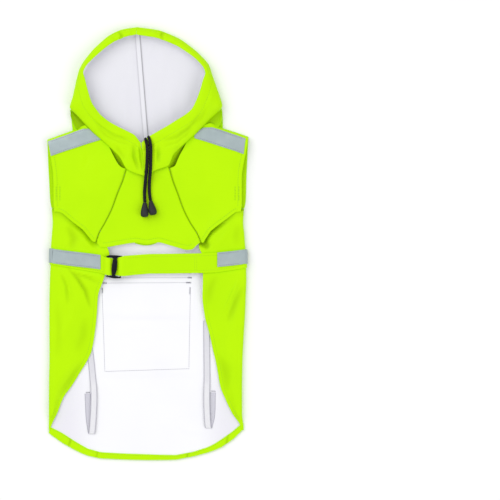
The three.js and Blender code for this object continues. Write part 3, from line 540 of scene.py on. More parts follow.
def elastic_finish():
    """Ribbed elastic of the leg straps: painted shade in its rib valleys and where it lies low, and darker
    edges, partly their stitching and partly painted shade.
    """
    elastic = Finish("ribbed_elastic", roughness=0.75, sheen_weight=0.3)
    spot = elastic.place(surface=True)
    from_middle = (elastic.coordinate(spot, "x") - LEG_STRAP_WIDTH * MM / 2).size()
    height = elastic.wave(spot, "X", 190.0) * 0.7 + elastic.wave(spot, "Y", 300.0) * 0.3
    lower = elastic.ramp(elastic.coordinate(elastic.place(), "z"), 0.0036, 0.0014)
    # Painted shade in the rib valleys
    body = elastic.blend(height, (0.72, 0.715, 0.76), (0.87, 0.865, 0.9))
    # Painted shade where the strap lies low, under the wraps and in its loop
    body = elastic.blend(lower, body, (0.58, 0.57, 0.65))
    # Darker edges: partly their stitching, partly painted shade
    elastic.colour(elastic.blend(elastic.ramp(from_middle, 0.0028, 0.0043), body, (0.42, 0.41, 0.48)))
    elastic.relief(height, 0.0003, 0.8)


def braid_finish():
    """Black braid of the drawstring, with two sets of crossing strands."""
    braid = Finish("black_braid", roughness=0.6, specular_ior_level=0.14)
    one = braid.wave(braid.place(surface=True), "DIAGONAL", 210.0)
    other = braid.wave(braid.place((-1, 1, 1), surface=True), "DIAGONAL", 210.0)
    plait = one.most(other)
    braid.colour(braid.blend(plait, (0.002, 0.002, 0.003), (0.014, 0.014, 0.02)))
    braid.relief(plait, 0.0004, 0.8)


def plastic_finish(name, gloss):
    """Black moulded plastic with a fine grain, and paler bluish patches that are a painted highlight."""
    plastic = Finish(name, specular_ior_level=gloss)
    spot = plastic.place()
    grain = plastic.noise(spot, 900, 2)
    # Painted highlight: paler bluish patches on the black
    painted_highlight = plastic.ramp(plastic.noise(spot, 60, 4, 0.6), 0.45, 0.75)
    plastic.colour(plastic.blend(painted_highlight, (0.006, 0.0065, 0.011), (0.014, 0.015, 0.027)))
    plastic.rough(0.3 + grain * 0.14 + painted_highlight * 0.08)
    plastic.relief(grain, 0.00008, 0.35)


def thread_finish(name, tone):
    """Twisted sewing thread."""
    thread = Finish(name, roughness=0.7)
    twist = thread.wave(thread.place(), "DIAGONAL", 900.0)
    thread.colour(thread.blend(twist, shade(tone, 0.8), tone))
    thread.relief(twist, 0.0001, 0.5)


def finishes():
    """All materials by name. The coat's own are made at the first call."""
    if "neon_shell" not in bpy.data.materials:
        colours = bpy.context.scene.raincoat_colours
        neon, white = tuple(colours.neon), tuple(colours.lining)
        # The hood's inside: the lining's white darkened as painted shade
        hood_inside_painted_shade = shade(white, 0.86, (0.995, 0.99, 1.02))
        shell_finish(neon)
        lining_finish(white)
        hood_finish(hood_inside_painted_shade)
        seam_tape_finish(hood_inside_painted_shade)
        tape_finish(tuple(colours.tape))
        elastic_finish()
        braid_finish()
        for name, gloss in (("black_plastic", 0.3), ("slider_plastic", 0.12)):
            plastic_finish(name, gloss)
        for name, tone in (("neon_thread", shade(neon, 0.86)), ("grey_thread", (0.30, 0.29, 0.36)),
                           ("slate_thread", (0.05, 0.05, 0.12))):
            thread_finish(name, tone)
    return bpy.data.materials


def finished_mesh(name, points, faces, slots, coords, materials):
    """A mesh object at the origin from points in millimetres, riding with the coat."""
    mesh = bpy.data.meshes.new(name)
    mesh.from_pydata((np.asarray(points) * MM).tolist(), [], faces)
    for material in materials:
        mesh.materials.append(finishes()[material])
    mesh.polygons.foreach_set("material_index", np.asarray(slots, np.int32))
    mesh.polygons.foreach_set("use_smooth", np.ones(len(faces), bool))
    if coords is not None:
        layer = mesh.uv_layers.new(name="UVMap")
        corners = np.zeros(len(mesh.loops), np.int32)
        mesh.loops.foreach_get("vertex_index", corners)
        layer.data.foreach_set("uv", (np.asarray(coords, float)[corners] * MM).ravel())
    mesh.validate()
    mesh.set_sharp_from_angle(angle=SHARP_ANGLE)
    piece = bpy.data.objects.new(name, mesh)
    bpy.context.scene.collection.objects.link(piece)
    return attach(piece, "root")


def outward(grid):
    """Directions out of a grid at its four edges."""
    push = np.zeros_like(grid)
    push[0] += grid[0] - grid[1]
    push[-1] += grid[-1] - grid[-2]
    push[:, 0] += grid[:, 0] - grid[:, 1]
    push[:, -1] += grid[:, -1] - grid[:, -2]
    return push / np.maximum(np.linalg.norm(push, axis=2, keepdims=True), 1e-9)


def along_cloth(grid, axis):
    """The way along the cloth to each point from its row's or its column's start."""
    return np.insert(np.cumsum(np.linalg.norm(np.diff(grid, axis=axis), axis=2), axis=axis), 0, 0, axis=axis)


def cloth(name, grid, facing=1, low=-CLOTH, high=0.0, outside="neon_shell", inside="white_lining", marks=None,
          slot="shell", hollows=None):
    """A closed sheet of cloth on a grid of its outer face.

    Marks is a mask of inner faces that show the outside's finish. The last argument, from 0 to 1, darkens
    the shell's colour as painted shade where the cloth is tucked in.
    """
    normals = grid_normals(grid, facing)
    outer, inner = grid + high * normals, grid + low * normals
    middle = (outer + inner) / 2
    rows, columns = grid.shape[:2]
    count = rows * columns
    index = np.arange(count).reshape(rows, columns)
    a, b, c, d = index[:-1, :-1], index[:-1, 1:], index[1:, 1:], index[1:, :-1]
    front = np.stack([a, b, c, d], axis=-1).reshape(-1, 4)
    if facing < 0:
        front = front[:, ::-1]
    back = front[:, ::-1] + count
    rim = np.concatenate([index[0, :], index[1:, -1], index[-1, -2::-1], index[-2:0:-1, 0]])
    edge = (middle + outward(grid) * EDGE_BULGE * abs(high - low)).reshape(-1, 3)[rim]
    following = np.roll(rim, -1)
    n = np.arange(len(rim)) + 2 * count
    after = np.roll(n, -1)
    near = np.stack([rim, n, after, following], axis=1)
    far = np.stack([n, rim + count, following + count, after], axis=1)
    sides = np.concatenate([near, far])
    if facing < 0:
        sides = sides[:, ::-1]
    points = np.concatenate([outer.reshape(-1, 3), inner.reshape(-1, 3), edge])
    flat = np.stack([along_cloth(grid, 1), along_cloth(grid, 0)], axis=-1).reshape(-1, 2)
    coords = np.concatenate([flat, flat, flat[rim]])
    inner_slots = np.ones(len(back), int)
    if marks is not None:
        inner_slots[marks[:-1, :-1].ravel()] = 0
    slots = np.concatenate([np.zeros(len(front), int), inner_slots, np.zeros(len(sides), int)])
    faces = np.concatenate([front, back, sides]).tolist()
    piece = finished_mesh(name, points, faces, slots, coords, [outside, inside])
    # Painted shade amount per point, read by the shell's finish
    if hollows is not None:
        values = np.clip(hollows, 0, 1).ravel()
        layer = piece.data.attributes.new("hollow", "FLOAT", "POINT")
        layer.data.foreach_set("value", np.concatenate([values, values, values[rim]]).astype(np.float32))
    return piece


def flat_size(grid):
    """Width, length and area of a sheet's cut, in metres, measured along the cloth."""
    width = np.linalg.norm(np.diff(grid, axis=1), axis=2).sum(axis=1).max()
    length = np.linalg.norm(np.diff(grid, axis=0), axis=2).sum(axis=0).max()
    one = np.cross(grid[:-1, 1:] - grid[:-1, :-1], grid[1:, :-1] - grid[:-1, :-1])
    two = np.cross(grid[1:, 1:] - grid[:-1, 1:], grid[1:, 1:] - grid[1:, :-1])
    area = (np.linalg.norm(one, axis=2).sum() + np.linalg.norm(two, axis=2).sum()) / 2
    width, length = max(width, LEAST_SHEET_SIDE) * MM, max(length, LEAST_SHEET_SIDE) * MM
    return width, length, min(area * MM * MM, width * length)


def declare(piece, grid):
    """States a sheet's cut."""
    width, length, area = flat_size(grid)
    print(f"cut {piece.name}: {width:.4f} x {length:.4f} m, area {area:.5f} m2")


def sewn(name, node, grid, rests_on, held="laid", **looks):
    """A sheet of cloth that stands for a node, with its cut declared."""
    piece = cloth(name, grid, **looks)
    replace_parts(piece, node)
    declare(piece, grid)


# Step of a plan path in millimetres, and the height in metres from which it is dropped on a piece
PATH_STEP = 1.2
RAY_START = 0.2
STITCH_PITCH = 3.2
STITCH_LENGTH = 2.4
STITCH_SIDES = 6
STITCH_FLATNESS = 0.7
# Rings of a stitch: share of its length from the middle, and share of its width
STITCH_RINGS = ((-0.5, 0.15), (-0.3, 0.85), (0.0, 1.0), (0.3, 0.85), (0.5, 0.15))
FINE_THREAD = {"width": 0.42, "lift": 0.05}
UNDER_THREAD = {"up": -1, **FINE_THREAD}
TACK_THREAD = {"width": 0.7, "lift": 0.25}


def beside(path, distance):
    """A path moved sideways, to its left where the distance is positive."""
    path = np.array(path, float)
    direction = np.gradient(path, axis=0)
    direction /= np.linalg.norm(direction, axis=1, keepdims=True)
    return path + distance * np.stack([-direction[:, 1], direction[:, 0]], axis=1)


def resting(piece, path, up=1):
    """Points and normals where a plan path lies on a piece, seen from above or from below."""
    path = np.array(path, float)
    steps = travelled(path)
    count = max(int(steps[-1] / PATH_STEP), 2) + 1
    mesh = piece.data
    tree = BVHTree.FromPolygons([v.co for v in mesh.vertices], [p.vertices for p in mesh.polygons])
    points, normals = [], []
    for x, y in sampled(path, steps, np.linspace(0, steps[-1], count)):
        place, normal = tree.ray_cast(Vector((x * MM, y * MM, up * RAY_START)), Vector((0, 0, -up)))[:2]
        if place is None:
            raise ValueError(f"the stitching at {x:.1f}, {y:.1f} doesn't lie on {piece.name}")
        points.append(np.array(place) / MM)
        normals.append(np.array(normal if normal.z * up > 0 else -normal))
    return np.array(points), np.array(normals)


class Stitching:
    """Rows of thread, gathered into one mesh."""

    def __init__(self):
        self.points, self.faces = [], []

    def run(self, piece, path, up=1, width=0.6, lift=0.12):
        """Stitches end to end along a plan path on a piece."""
        points, normals = resting(piece, path, up)
        steps = travelled(points)
        centres = np.arange(STITCH_PITCH / 2, steps[-1], STITCH_PITCH)
        starts, ends = centres - STITCH_LENGTH / 2, centres + STITCH_LENGTH / 2
        for stitch in zip(*(sampled(points, steps, at) for at in (starts, centres, ends)),
                          sampled(normals, steps, centres)):
            self.stitch(*stitch, width, lift)

    def stitch(self, start, centre, end, up, width, lift):
        """One stitch: a short, flattened roll of thread that thins to both ends."""
        along = end - start
        side = np.cross(along / max(np.linalg.norm(along), 1e-9), up)
        first = len(self.points)
        for offset, swelling in STITCH_RINGS:
            middle = centre + along * offset
            for k in range(STITCH_SIDES):
                angle = 2 * math.pi * k / STITCH_SIDES
                self.points.append(middle + side * (math.cos(angle) * width * swelling / 2)
                                   + up * (lift + math.sin(angle) * width * STITCH_FLATNESS * swelling / 2))
        for ring in range(len(STITCH_RINGS) - 1):
            for k in range(STITCH_SIDES):
                a, b = (first + ring * STITCH_SIDES + corner for corner in (k, (k + 1) % STITCH_SIDES))
                self.faces.append((b, a, a + STITCH_SIDES, b + STITCH_SIDES))
        last = first + (len(STITCH_RINGS) - 1) * STITCH_SIDES
        self.faces.append(tuple(first + k for k in range(STITCH_SIDES)))
        self.faces.append(tuple(last + k for k in reversed(range(STITCH_SIDES))))

    def tack(self, piece, start, end, width, bars):
        """A bar tack: close stitches across a short line."""
        points, normals = resting(piece, [start, end])
        side = np.array([end[1] - start[1], start[0] - end[0], 0.0])
        side *= width / 2 / np.linalg.norm(side)
        for share in np.linspace(0, 1, bars):
            k = int(round(share * (len(points) - 1)))
            self.stitch(points[k] - side, points[k], points[k] + side, normals[k], **TACK_THREAD)

    def done(self, name, thread):
        """Makes all the thread one piece."""
        slots = np.zeros(len(self.faces), int)
        piece = finished_mesh(name, np.array(self.points), self.faces, slots, None, [thread])


def within(value, low, high, ramp):
    """1 between two limits, falling to 0 over a ramp outside them."""
    return np.clip(1 - np.maximum(low - value, value - high) / ramp, 0, 1)


def raised(x, y, under, low="low", high="high"):
    """Height over a flat piece that lies under the coat, with a ramp round it."""
    across = within(x, under["left"], under["right"], under["ramp"])
    return LAYER * np.minimum(across, within(y, under[low], under[high], under["ramp"]))


def pocket_rise(x, y):
    """Height of the pocket's underside over its flap."""
    return raised(x, y, POCKET, "flap_low", "flap_high")


def back_rise(x, y):
    """Height of the back's underside over the pocket, its flap and the reflective tape."""
    return np.maximum(raised(x, y, POCKET) + pocket_rise(x, y), raised(x, y, BACK_TAPE))


def fold_radius(y):
    """Radius of the side folds, less where a wrap is narrow and nil above the armholes' foot."""
    width = np.minimum(inner_left(y) - outline_left(y), outline_right(y) - inner_right(y))
    return np.minimum(FOLD_RADIUS, 0.42 * width) * np.clip((50 - y) / 4, 0, 1)


# Creases of the lining inside: path, half width, height
LINING_CREASES = [
    ([(-58, -96), (-20, -101), (30, -99), (60, -104)], 6, 0.7, 0.3),
    ([(-50, -128), (-22, -118), (4, -112)], 5, 0.45, 0.2),
    ([(-44, -166), (-10, -163), (30, -158)], 7, 0.5, 0.0),
    ([(34, -250), (52, -262), (84, -266)], 4, 0.9, 0.4),
    ([(12, -226), (20, -250), (34, -264)], 7, 0.5, 0.0),
    ([(-66, -186), (-50, -206), (-44, -232)], 8, 0.6, 0.2),
    ([(-112, -240), (-98, -224), (-92, -206)], 6, 0.6, 0.2),
    ([(104, -238), (96, -216), (92, -196)], 6, 0.7, -0.2),
    ([(-18, -206), (24, -212), (60, -204)], 9, 0.45, 0.1),
    ([(66, -60), (72, -90), (70, -120)], 5, 0.7, 0.2),
    ([(-50, -34), (-10, -28), (40, -30)], 6, 0.5, 0.0),
    ([(60, -130), (70, -160), (68, -196)], 7, 0.5, 0.0),
]


def lining_height(x, y):
    """How far the back lies off the surface between its seams."""
    flat_edge = within(x, -118, 118, 16) * within(y, -286, 104, 12)
    lie = 0.35 + swell(x, y, 23, 0.28, 0.5) + swell(x, y, 11, 0.08, 1.1) + creases(x, y, LINING_CREASES)
    return np.maximum(lie, 0) * flat_edge


def back_grid():
    """The back: from the hem to the body, up between the side folds, and out to the neck seam."""
    body = np.concatenate([np.arange(-250, 46, 2.6), np.linspace(46, 110, 24)])
    share = np.linspace(0, 1, 112)
    hem_x, neck_x = lerp(-139, 134.5, share), lerp(-141, 141, share)

    def row(x, y):
        return np.stack([x, np.broadcast_to(y, x.shape), np.zeros(len(x))], axis=1)

    def across(y):
        fold = fold_radius(y) + np.where(y <= 46, 2 * SEAM_GAP, 0)
        return lerp(outline_left(y) + fold, outline_right(y) - fold, share)

    low, high = body[0], body[-1]
    to_hem = [row(lerp(hem_x, across(low), t), lerp(hem_outer(hem_x), low, t))
              for t in np.linspace(0, 1, 14)[:-1]]
    between = [row(across(y), y) for y in body]
    to_neck = [row(lerp(across(high), neck_x, t), lerp(high, neck_line(neck_x), t))
               for t in np.linspace(0, 1, 18)[1:]]
    grid = np.array(to_hem + between + to_neck)
    x, y = grid[..., 0], grid[..., 1]
    grid[..., 2] = back_rise(x, y) + lining_height(x, y)
    return grid


WRAP_CREASES = {
    -1: [
        ([(-126, -32), (-113, -52), (-106, -84)], 2.4, 2.0, 0.4),
        ([(-114, -31), (-98, -50), (-88, -66), (-80, -92)], 2.4, -2.4, 0.4),
        ([(-122, -40), (-114, -60), (-112, -86)], 2.6, -1.3, 0.2),
        ([(-110, -36), (-86, -43), (-62, -49)], 1.8, 2.0, 0.4),
        ([(-104, -41), (-84, -48), (-66, -56)], 2.0, -1.2, 0.2),
        ([(-96, -70), (-104, -100), (-120, -132)], 7, 0.8, 0.2),
        ([(-88, -102), (-90, -130), (-100, -152)], 6, -0.8, 0.0),
        ([(-128, -80), (-124, -120), (-127, -160)], 5, -0.6, 0.2),
        ([(-92, -164), (-106, -186), (-124, -212)], 5, -1.3, 0.3),
        ([(-100, -160), (-116, -182), (-130, -202)], 6, 0.8, 0.0),
        ([(-112, -226), (-122, -240), (-132, -250)], 4, 0.8, 0.0),
        ([(-112, 26), (-104, 8), (-108, -8)], 5, -1.4, 0.2),
        ([(-94, 6), (-84, -2), (-70, -8)], 4, 1.0, 0.3),
        ([(-128, 30), (-124, 10), (-126, -4)], 5, 0.6, 0.0),
    ],
    1: [
        ([(129, -48), (119, -68), (107, -94)], 3.0, 2.2, 0.5),
        ([(133, -58), (123, -80), (112, -110)], 4, -1.6, 0.2),
        ([(96, -44), (88, -62), (84, -86)], 5, -1.0, 0.0),
        ([(124, -110), (112, -136), (106, -166)], 8, 0.8, 0.1),
        ([(100, -150), (108, -180), (112, -210)], 6, -1.0, 0.2),
        ([(126, -176), (120, -206), (124, -236)], 6, 0.8, 0.1),
        ([(70, 8), (78, 1), (85, -7)], 4, -5.5, 0.3),
        ([(116, 24), (104, 6), (92, -4)], 5, 1.0, 0.2),
        ([(128, 28), (124, 12), (126, -2)], 5, -0.7, 0.0),
        ([(100, -36), (116, -42), (130, -40)], 2.6, 0.9, 0.2),
    ],
}


def under_front(x, y):
    """Where a wrap sinks below the slanted lower edge of the front panel."""
    edge = np.interp(np.abs(x), [72, 77, 82, 90, 104, 118, 124, 131], [1, 3, 9, 19.5, 31, 42, 45, 45.5])
    return smoothstep(y - edge, -11, 3) * smoothstep(np.abs(x), 64, 76)


def wrap_grid(side):
    """A side wrap: on from the back round the side fold, then over the belly to its free edge."""
    rows = np.concatenate([np.arange(-261, 44, 2.4), [44, 46, 47, 48, 49, 49.6]])
    angles = np.radians(np.linspace(-90, 90, 15))
    shares = np.concatenate([np.linspace(0.03, 0.9, 44), np.linspace(0.92, 1, 6)])
    y = rows[:, None]
    outer, inner = outer_edge[side](y), inner_edge[side](y)
    radius = fold_radius(y)
    centre = outer - side * radius
    edge = np.minimum(edge_top(y), 2 * radius)
    fold = np.stack([centre + side * radius * np.cos(angles), np.broadcast_to(y, (len(rows), len(angles))),
                     radius + radius * np.sin(angles)], axis=-1)
    x = lerp(centre, inner, shares[None])
    z = lerp(2 * radius, edge, smoothstep(shares[None], 0.12, 1))
    width = np.abs(inner - centre)
    from_edge = (1 - shares[None]) * width
    yy = np.broadcast_to(y, x.shape)
    belted = within(yy, belt_low(x) - 1, belt_high(x) + 1, 7)
    covered = under_front(x, yy)
    free = smoothstep(shares[None], 0.02, 0.16) * smoothstep(width, 12, 40)
    lie = creases(x, yy, WRAP_CREASES[side]) + swell(x, yy, 17, 0.45, 0.7 * side) + 0.25
    ridges, troughs = lie * (1 - np.maximum(belted, covered)), lie * (1 - 0.7 * belted)
    lie = np.where(lie > 0, ridges, troughs) - 4.4 * covered * free
    rolled = 0.2 * ridge(from_edge, 2.2, 1.8) - 0.1 * ridge(from_edge, HEM_WIDTH["wrap"], 0.8)
    z = z + (lie + rolled * (1 - belted)) * free
    top = np.stack([x, yy, np.maximum(z, 3.4)], axis=-1)
    return np.concatenate([fold, top], axis=1)


def front_top(x, y):
    """Outer height of the front panels: level, lower at the armholes, turned down at the shoulder seam."""
    seam = np.where(x < 0, 146.5 + (x + 141) * 13.5 / 37, 163 + (x - 104) * -12.5 / 37)
    below = np.maximum(seam - y, 0)
    turn = np.sqrt(1 - (1 - np.minimum(below / 8, 1)) ** 2)
    fade = smoothstep(np.abs(x), 84, 103)
    ease = 0.5 * smoothstep(np.abs(x), 112, 136) * smoothstep(y, 50, 70)
    level = FRONT_TOP - ease
    return lerp(level, lerp(SEAM_FOOT, level, turn), fade)


FRONT_CREASES = [
    ([(-86, 130), (-84, 118), (-90, 104)], 4, -0.6, 0.2),
    ([(-124, 118), (-118, 96), (-121, 74)], 6, 0.5, 0.0),
    ([(124, 120), (117, 98), (120, 72)], 6, 0.5, 0.0),
    ([(-104, 44), (-90, 34), (-78, 18)], 4, 0.9, 0.3),
    ([(106, 42), (92, 30), (80, 14)], 4, 0.9, -0.3),
    ([(-66, 56), (-78, 72), (-96, 84)], 9, 0.5, 0.0),
    ([(70, 60), (84, 76), (100, 86)], 9, 0.5, 0.0),
    ([(-30, 30), (0, 24), (34, 28)], 10, 0.4, 0.0),
    ([(60, 118), (74, 104), (92, 100)], 6, 0.4, 0.0),
    ([(-50, 112), (-66, 98), (-72, 84)], 7, -0.4, 0.0),
]

# Where the chest seams end, under the rims
SEAM_TOP = 119


def off_seams(x, y):
    """The way across to the nearer of the two chest seams."""
    return np.minimum(np.abs(x - seam_left(y)), np.abs(x - seam_right(y)))


def front_lie(x, y):
    """How far the chest and the front panels lie off their level: soft waves, and valleys along both seams."""
    lie = swell(x, y, 26, 0.3, 0.4) + creases(x, y, FRONT_CREASES)
    lie = lie * (1 - smoothstep(y, 88, 118) * smoothstep(-np.abs(x), -62, -30))
    return lie - 1.7 * np.where(y < SEAM_TOP, ridge(off_seams(x, y), 0, 1.3), 0)


def seam_hollows(grid):
    """Painted shade, from 0 to 1, along both seams between the chest and the fronts."""
    x, y = grid[..., 0], grid[..., 1]
    return np.where(y < SEAM_TOP, 0.8 * ridge(off_seams(x, y), 0, 0.8), 0)


def front_grid(name):
    """A front panel between its lower edge, the shoulder and hood, the armhole and the chest seam."""
    side, edges = SIDES[name], front_edges[name]
    count = 64
    y = np.linspace(edges["lower"][-1][1], edges["top"][-1][1], count)
    seam = np.stack([chest_seam[side](y) + side * SEAM_FURROW / 2, y], axis=1)
    lower = smooth_line([*edges["lower"][:-1], tuple(seam[0])], count)
    top = smooth_line([*edges["top"][:-1], tuple(seam[-1])], count)
    armhole = smooth_line(edges["armhole"], count)
    plan = patch(lower, top, armhole, seam)
    x, y = plan[..., 0], plan[..., 1]
    from_lower = np.linspace(0, 120, count)[:, None]
    from_armhole = np.linspace(0, 80, count)[None]
    rolled = (0.5 * ridge(from_lower, 2, 1.6) - 0.7 * ridge(from_lower, HEM_WIDTH["front"], 1.1)
              + 0.4 * ridge(from_armhole, 2.5, 2) - 0.4 * ridge(from_armhole, 5.2, 1.0))
    lifted = 2.4 * np.exp(-from_lower / 7) * smoothstep(-np.abs(x), -126, -112)
    z = front_top(x, y) + front_lie(x, y) + rolled + lifted
    return np.stack([x, y, z], axis=-1)


def chest_grid():
    """The chest panel between its hem, the throat and both chest seams."""
    count = 70
    y = np.linspace(3, 117, count)
    left = np.stack([seam_left(y) + SEAM_FURROW / 2, y], axis=1)
    right = np.stack([seam_right(y) - SEAM_FURROW / 2, y], axis=1)
    bottom = smooth_line([tuple(left[0]), *chest_hem[1:-1], tuple(right[0])], 90, 2)
    share = np.linspace(0, 1, 90)
    top = np.stack([lerp(left[-1, 0], right[-1, 0], share), 117 - 6 * np.sin(np.pi * share)], axis=1)
    plan = patch(bottom, top, left, right)
    x, y = plan[..., 0], plan[..., 1]
    from_hem = np.linspace(0, 112, count)[:, None]
    rolled = 0.7 * ridge(from_hem, 3, 2.2) - 0.6 * ridge(from_hem, HEM_WIDTH["chest"], 1.0)
    z = FRONT_TOP + front_lie(x, y) + rolled
    return np.stack([x, y, z], axis=-1)


def tape_grid(side):
    """A shoulder tape, cut slanting at its outer end."""
    xs, low, high = {
        -1: ([-135, -124, -112, -100, -90, -78, -66], [123.4, 127.4, 131.4, 135.2, 138.6, 142.4, 146],
             [143.4, 148, 152.4, 157.2, 161, 161, 154]),
        1: ([134.4, 124, 112, 100, 90, 78, 66], [126, 130, 133.8, 137.6, 141, 144.8, 148.2],
            [147.4, 151.6, 155.8, 160, 163, 162.4, 154.6]),
    }[side]
    at = np.linspace(0, 1, 40)
    place = np.linspace(0, 1, len(xs))
    share = np.linspace(0, 1, 18)[:, None]
    x = np.interp(at, place, xs)[None] + side * (4.2 if side < 0 else 2.6) * share * (1 - at[None]) ** 4
    y = lerp(np.interp(at, place, low)[None], np.interp(at, place, high)[None], share)
    return np.stack([x, y, front_top(x, y) + front_lie(x, y)], axis=-1)


RIM_SHARES = np.concatenate([np.linspace(0, 0.9, 34), np.linspace(0.92, 0.995, 6)])
RIM_ANGLES = np.radians(np.linspace(0, 90, 9))
RIM_ROWS = np.linspace(0, CROWN_ROW, 241)

RIM_CREASES = {
    "left": [
        ([(-14, 142), (-13, 128), (-9, 108)], 2.2, 1.5, 0.4),
        ([(-19, 140), (-19, 122), (-12, 102)], 2.6, -2.4, 0.2),
        ([(-10, 138), (-9, 120), (-6, 102)], 2.0, -2.6, 0.0),
        ([(-24, 136), (-26, 122), (-22, 108)], 3.0, 0.8, 0.0),
        ([(-36, 152), (-58, 160), (-78, 178), (-90, 196)], 3.2, 0.9, 0.3),
        ([(-24, 146), (-46, 151), (-64, 163), (-84, 184)], 2.6, -1.5, 0.3),
        ([(-22, 138), (-40, 142), (-56, 150), (-70, 163)], 2.2, -1.1, 0.3),
        ([(-22, 132), (-42, 140), (-60, 152)], 4.0, 0.7, 0.0),
        ([(-92, 192), (-96, 210), (-94, 228)], 4.0, 0.9, 0.2),
        ([(-30, 118), (-40, 130), (-44, 142)], 3.4, -0.9, 0.2),
        ([(-42, 299), (-36, 291), (-40, 284)], 2.0, -2.2, 0.2),
        ([(-54, 292), (-47, 285), (-46, 280)], 2.2, 1.6, 0.0),
        ([(-28, 303), (-25, 296), (-27, 289)], 2.2, 1.2, 0.0),
        ([(-8, 303), (-10, 297), (-13, 291)], 2.0, -1.2, 0.0),
    ],
    "right": [
        ([(4, 148), (5, 132), (3, 112)], 2.4, -1.2, 0.0),
        ([(10, 146), (12, 128), (11, 110)], 2.2, 1.4, 0.3),
        ([(13, 138), (15, 126), (14, 112)], 2.4, -2.6, 0.2),
        ([(22, 148), (42, 156), (60, 168), (74, 186)], 3.0, 0.9, 0.3),
        ([(20, 143), (42, 149), (58, 161), (76, 182)], 2.6, -1.5, 0.3),
        ([(22, 135), (40, 140), (54, 151), (64, 163)], 2.2, -1.1, 0.3),
        ([(24, 131), (40, 138), (56, 150)], 3.6, 0.8, 0.0),
        ([(62, 164), (76, 176), (84, 192)], 3.0, -0.8, 0.2),
        ([(84, 188), (90, 206), (88, 226)], 4.0, 0.9, 0.2),
        ([(36, 120), (42, 134), (48, 146)], 3.2, -1.0, 0.0),
        ([(24, 300), (19, 292), (22, 285)], 2.0, -2.2, 0.2),
        ([(12, 303), (9, 296), (12, 289)], 2.2, 1.4, 0.0),
        ([(40, 293), (36, 286), (34, 281)], 2.2, 1.2, 0.0),
    ],
}


def rim_lines(name):
    """Curves by row number of a rim: its outer edge, its face edge, and how it is tucked in below."""
    rows = rims[name]
    outer = catmull(np.stack([rows["out_x"], rows["out_y"], rows["fold_top"]], axis=1), 0.35)
    face = catmull(np.stack([rows["face_x"], rows["face_y"], rows["face_top"]], axis=1), 0.35)
    below = catmull(np.stack([rows["tuck"], rows["under"]], axis=1), 0.35)
    return outer, face, below


def across_rim(outer, face):
    """Directions in plan from the rim's outer edge to the face opening, and the width of the rim."""
    inward = face[:, :2] - outer[:, :2]
    width = np.linalg.norm(inward, axis=1, keepdims=True)
    return inward / width, width


def channel_width(width):
    """Width of the drawstring channel, less where the rim is narrow."""
    return np.minimum(CHANNEL_WIDTH, 0.8 * width)


def rim_grid(name):
    """A hood rim from the face opening to its outer edge, down to the surface, and turned in below."""
    outer_curve, face_curve, below_curve = rim_lines(name)
    outer, face, below = outer_curve(RIM_ROWS), face_curve(RIM_ROWS), below_curve(RIM_ROWS)
    tuck, under = below[:, :1], np.maximum(below[:, 1:], 0)
    inward, width = across_rim(outer, face)
    share = RIM_SHARES[None]
    x = lerp(face[:, :1], outer[:, :1], share)
    y = lerp(face[:, 1:2], outer[:, 1:2], share)
    z = outer[:, 2:] + (face[:, 2:] - outer[:, 2:]) * np.sqrt(1 - share ** 2)
    from_face = share * width
    channel = channel_width(width)
    puffed = 0.8 * ridge(from_face, 0.45 * channel, 0.36 * channel)
    groove = 0.45 * ridge(from_face, channel, 1.0)
    ease = smoothstep(share, -0.05, 0.12) * (1 - smoothstep(share, 0.86, 1))
    z = z + (puffed - groove + creases(x, y, RIM_CREASES[name]) + swell(x, y, 9, 0.35, 0.9)) * ease
    top = np.stack([x, y, z], axis=-1)
    angle = RIM_ANGLES[None]
    inset = tuck * (1 - np.cos(angle))
    gusset = smoothstep(RIM_ROWS, 4.6, 5.3)[:, None] * (1 - smoothstep(RIM_ROWS, 6.2, 6.9)[:, None])
    rise = gusset * (5.5 * (1 - np.cos(angle)) ** 2)
    low = np.stack([outer[:, :1] + inward[:, :1] * inset, outer[:, 1:2] + inward[:, 1:] * inset,
                    outer[:, 2:] - (outer[:, 2:] - under) * np.sin(angle) + rise], axis=-1)
    turned = low[:, -1:].repeat(3, axis=1)
    for k, (step, drop) in enumerate(((0.5, 0.25), (0.9, 0.65), (1.0, 1.0))):
        outward = lerp(-step, step, gusset)
        turned[:, k:k + 1, :2] -= inward[:, None] * outward[..., None]
        turned[:, k:k + 1, 2] -= (turned[:, k:k + 1, 2] - 1.9) * drop * gusset
    return np.concatenate([top, low, turned], axis=1)


def rim_hollows(name, grid):
    """Painted shade, from 0 to 1, at the neck seam and the wedge beside it, in the gusset at the corner, and in
    the rim's troughs.
    """
    row = RIM_ROWS[:, None]
    share = RIM_ANGLES[None] / RIM_ANGLES[-1]
    wedge = smoothstep(row, 1.7, 2.3) * (1 - smoothstep(row, 4.3, 4.9))
    wedge = wedge * lerp(0.25, 0.85, smoothstep(share, 0.3, 0.9))
    gusset = smoothstep(row, 4.5, 5.1) * (1 - smoothstep(row, 6.5, 7.1)) * {"left": 0.74, "right": 0.4}[name]
    neck_seam = (1 - smoothstep(row, 1.6, 2.1)) * smoothstep(share, 0.05, 0.5)
    gusset = gusset * smoothstep(share, 0.02, 0.2) * (1 - 0.35 * smoothstep(share, 0.45, 1))
    tucked = wedge + neck_seam + gusset
    count = len(RIM_SHARES)
    top = grid[:, :count]
    troughs = np.clip(-creases(top[..., 0], top[..., 1], RIM_CREASES[name]) / 2.6, 0, 1) * 0.4
    ends = grid.shape[1] - count - share.shape[1]
    return np.concatenate([troughs, tucked, tucked[:, -1:].repeat(ends, axis=1)], axis=1)


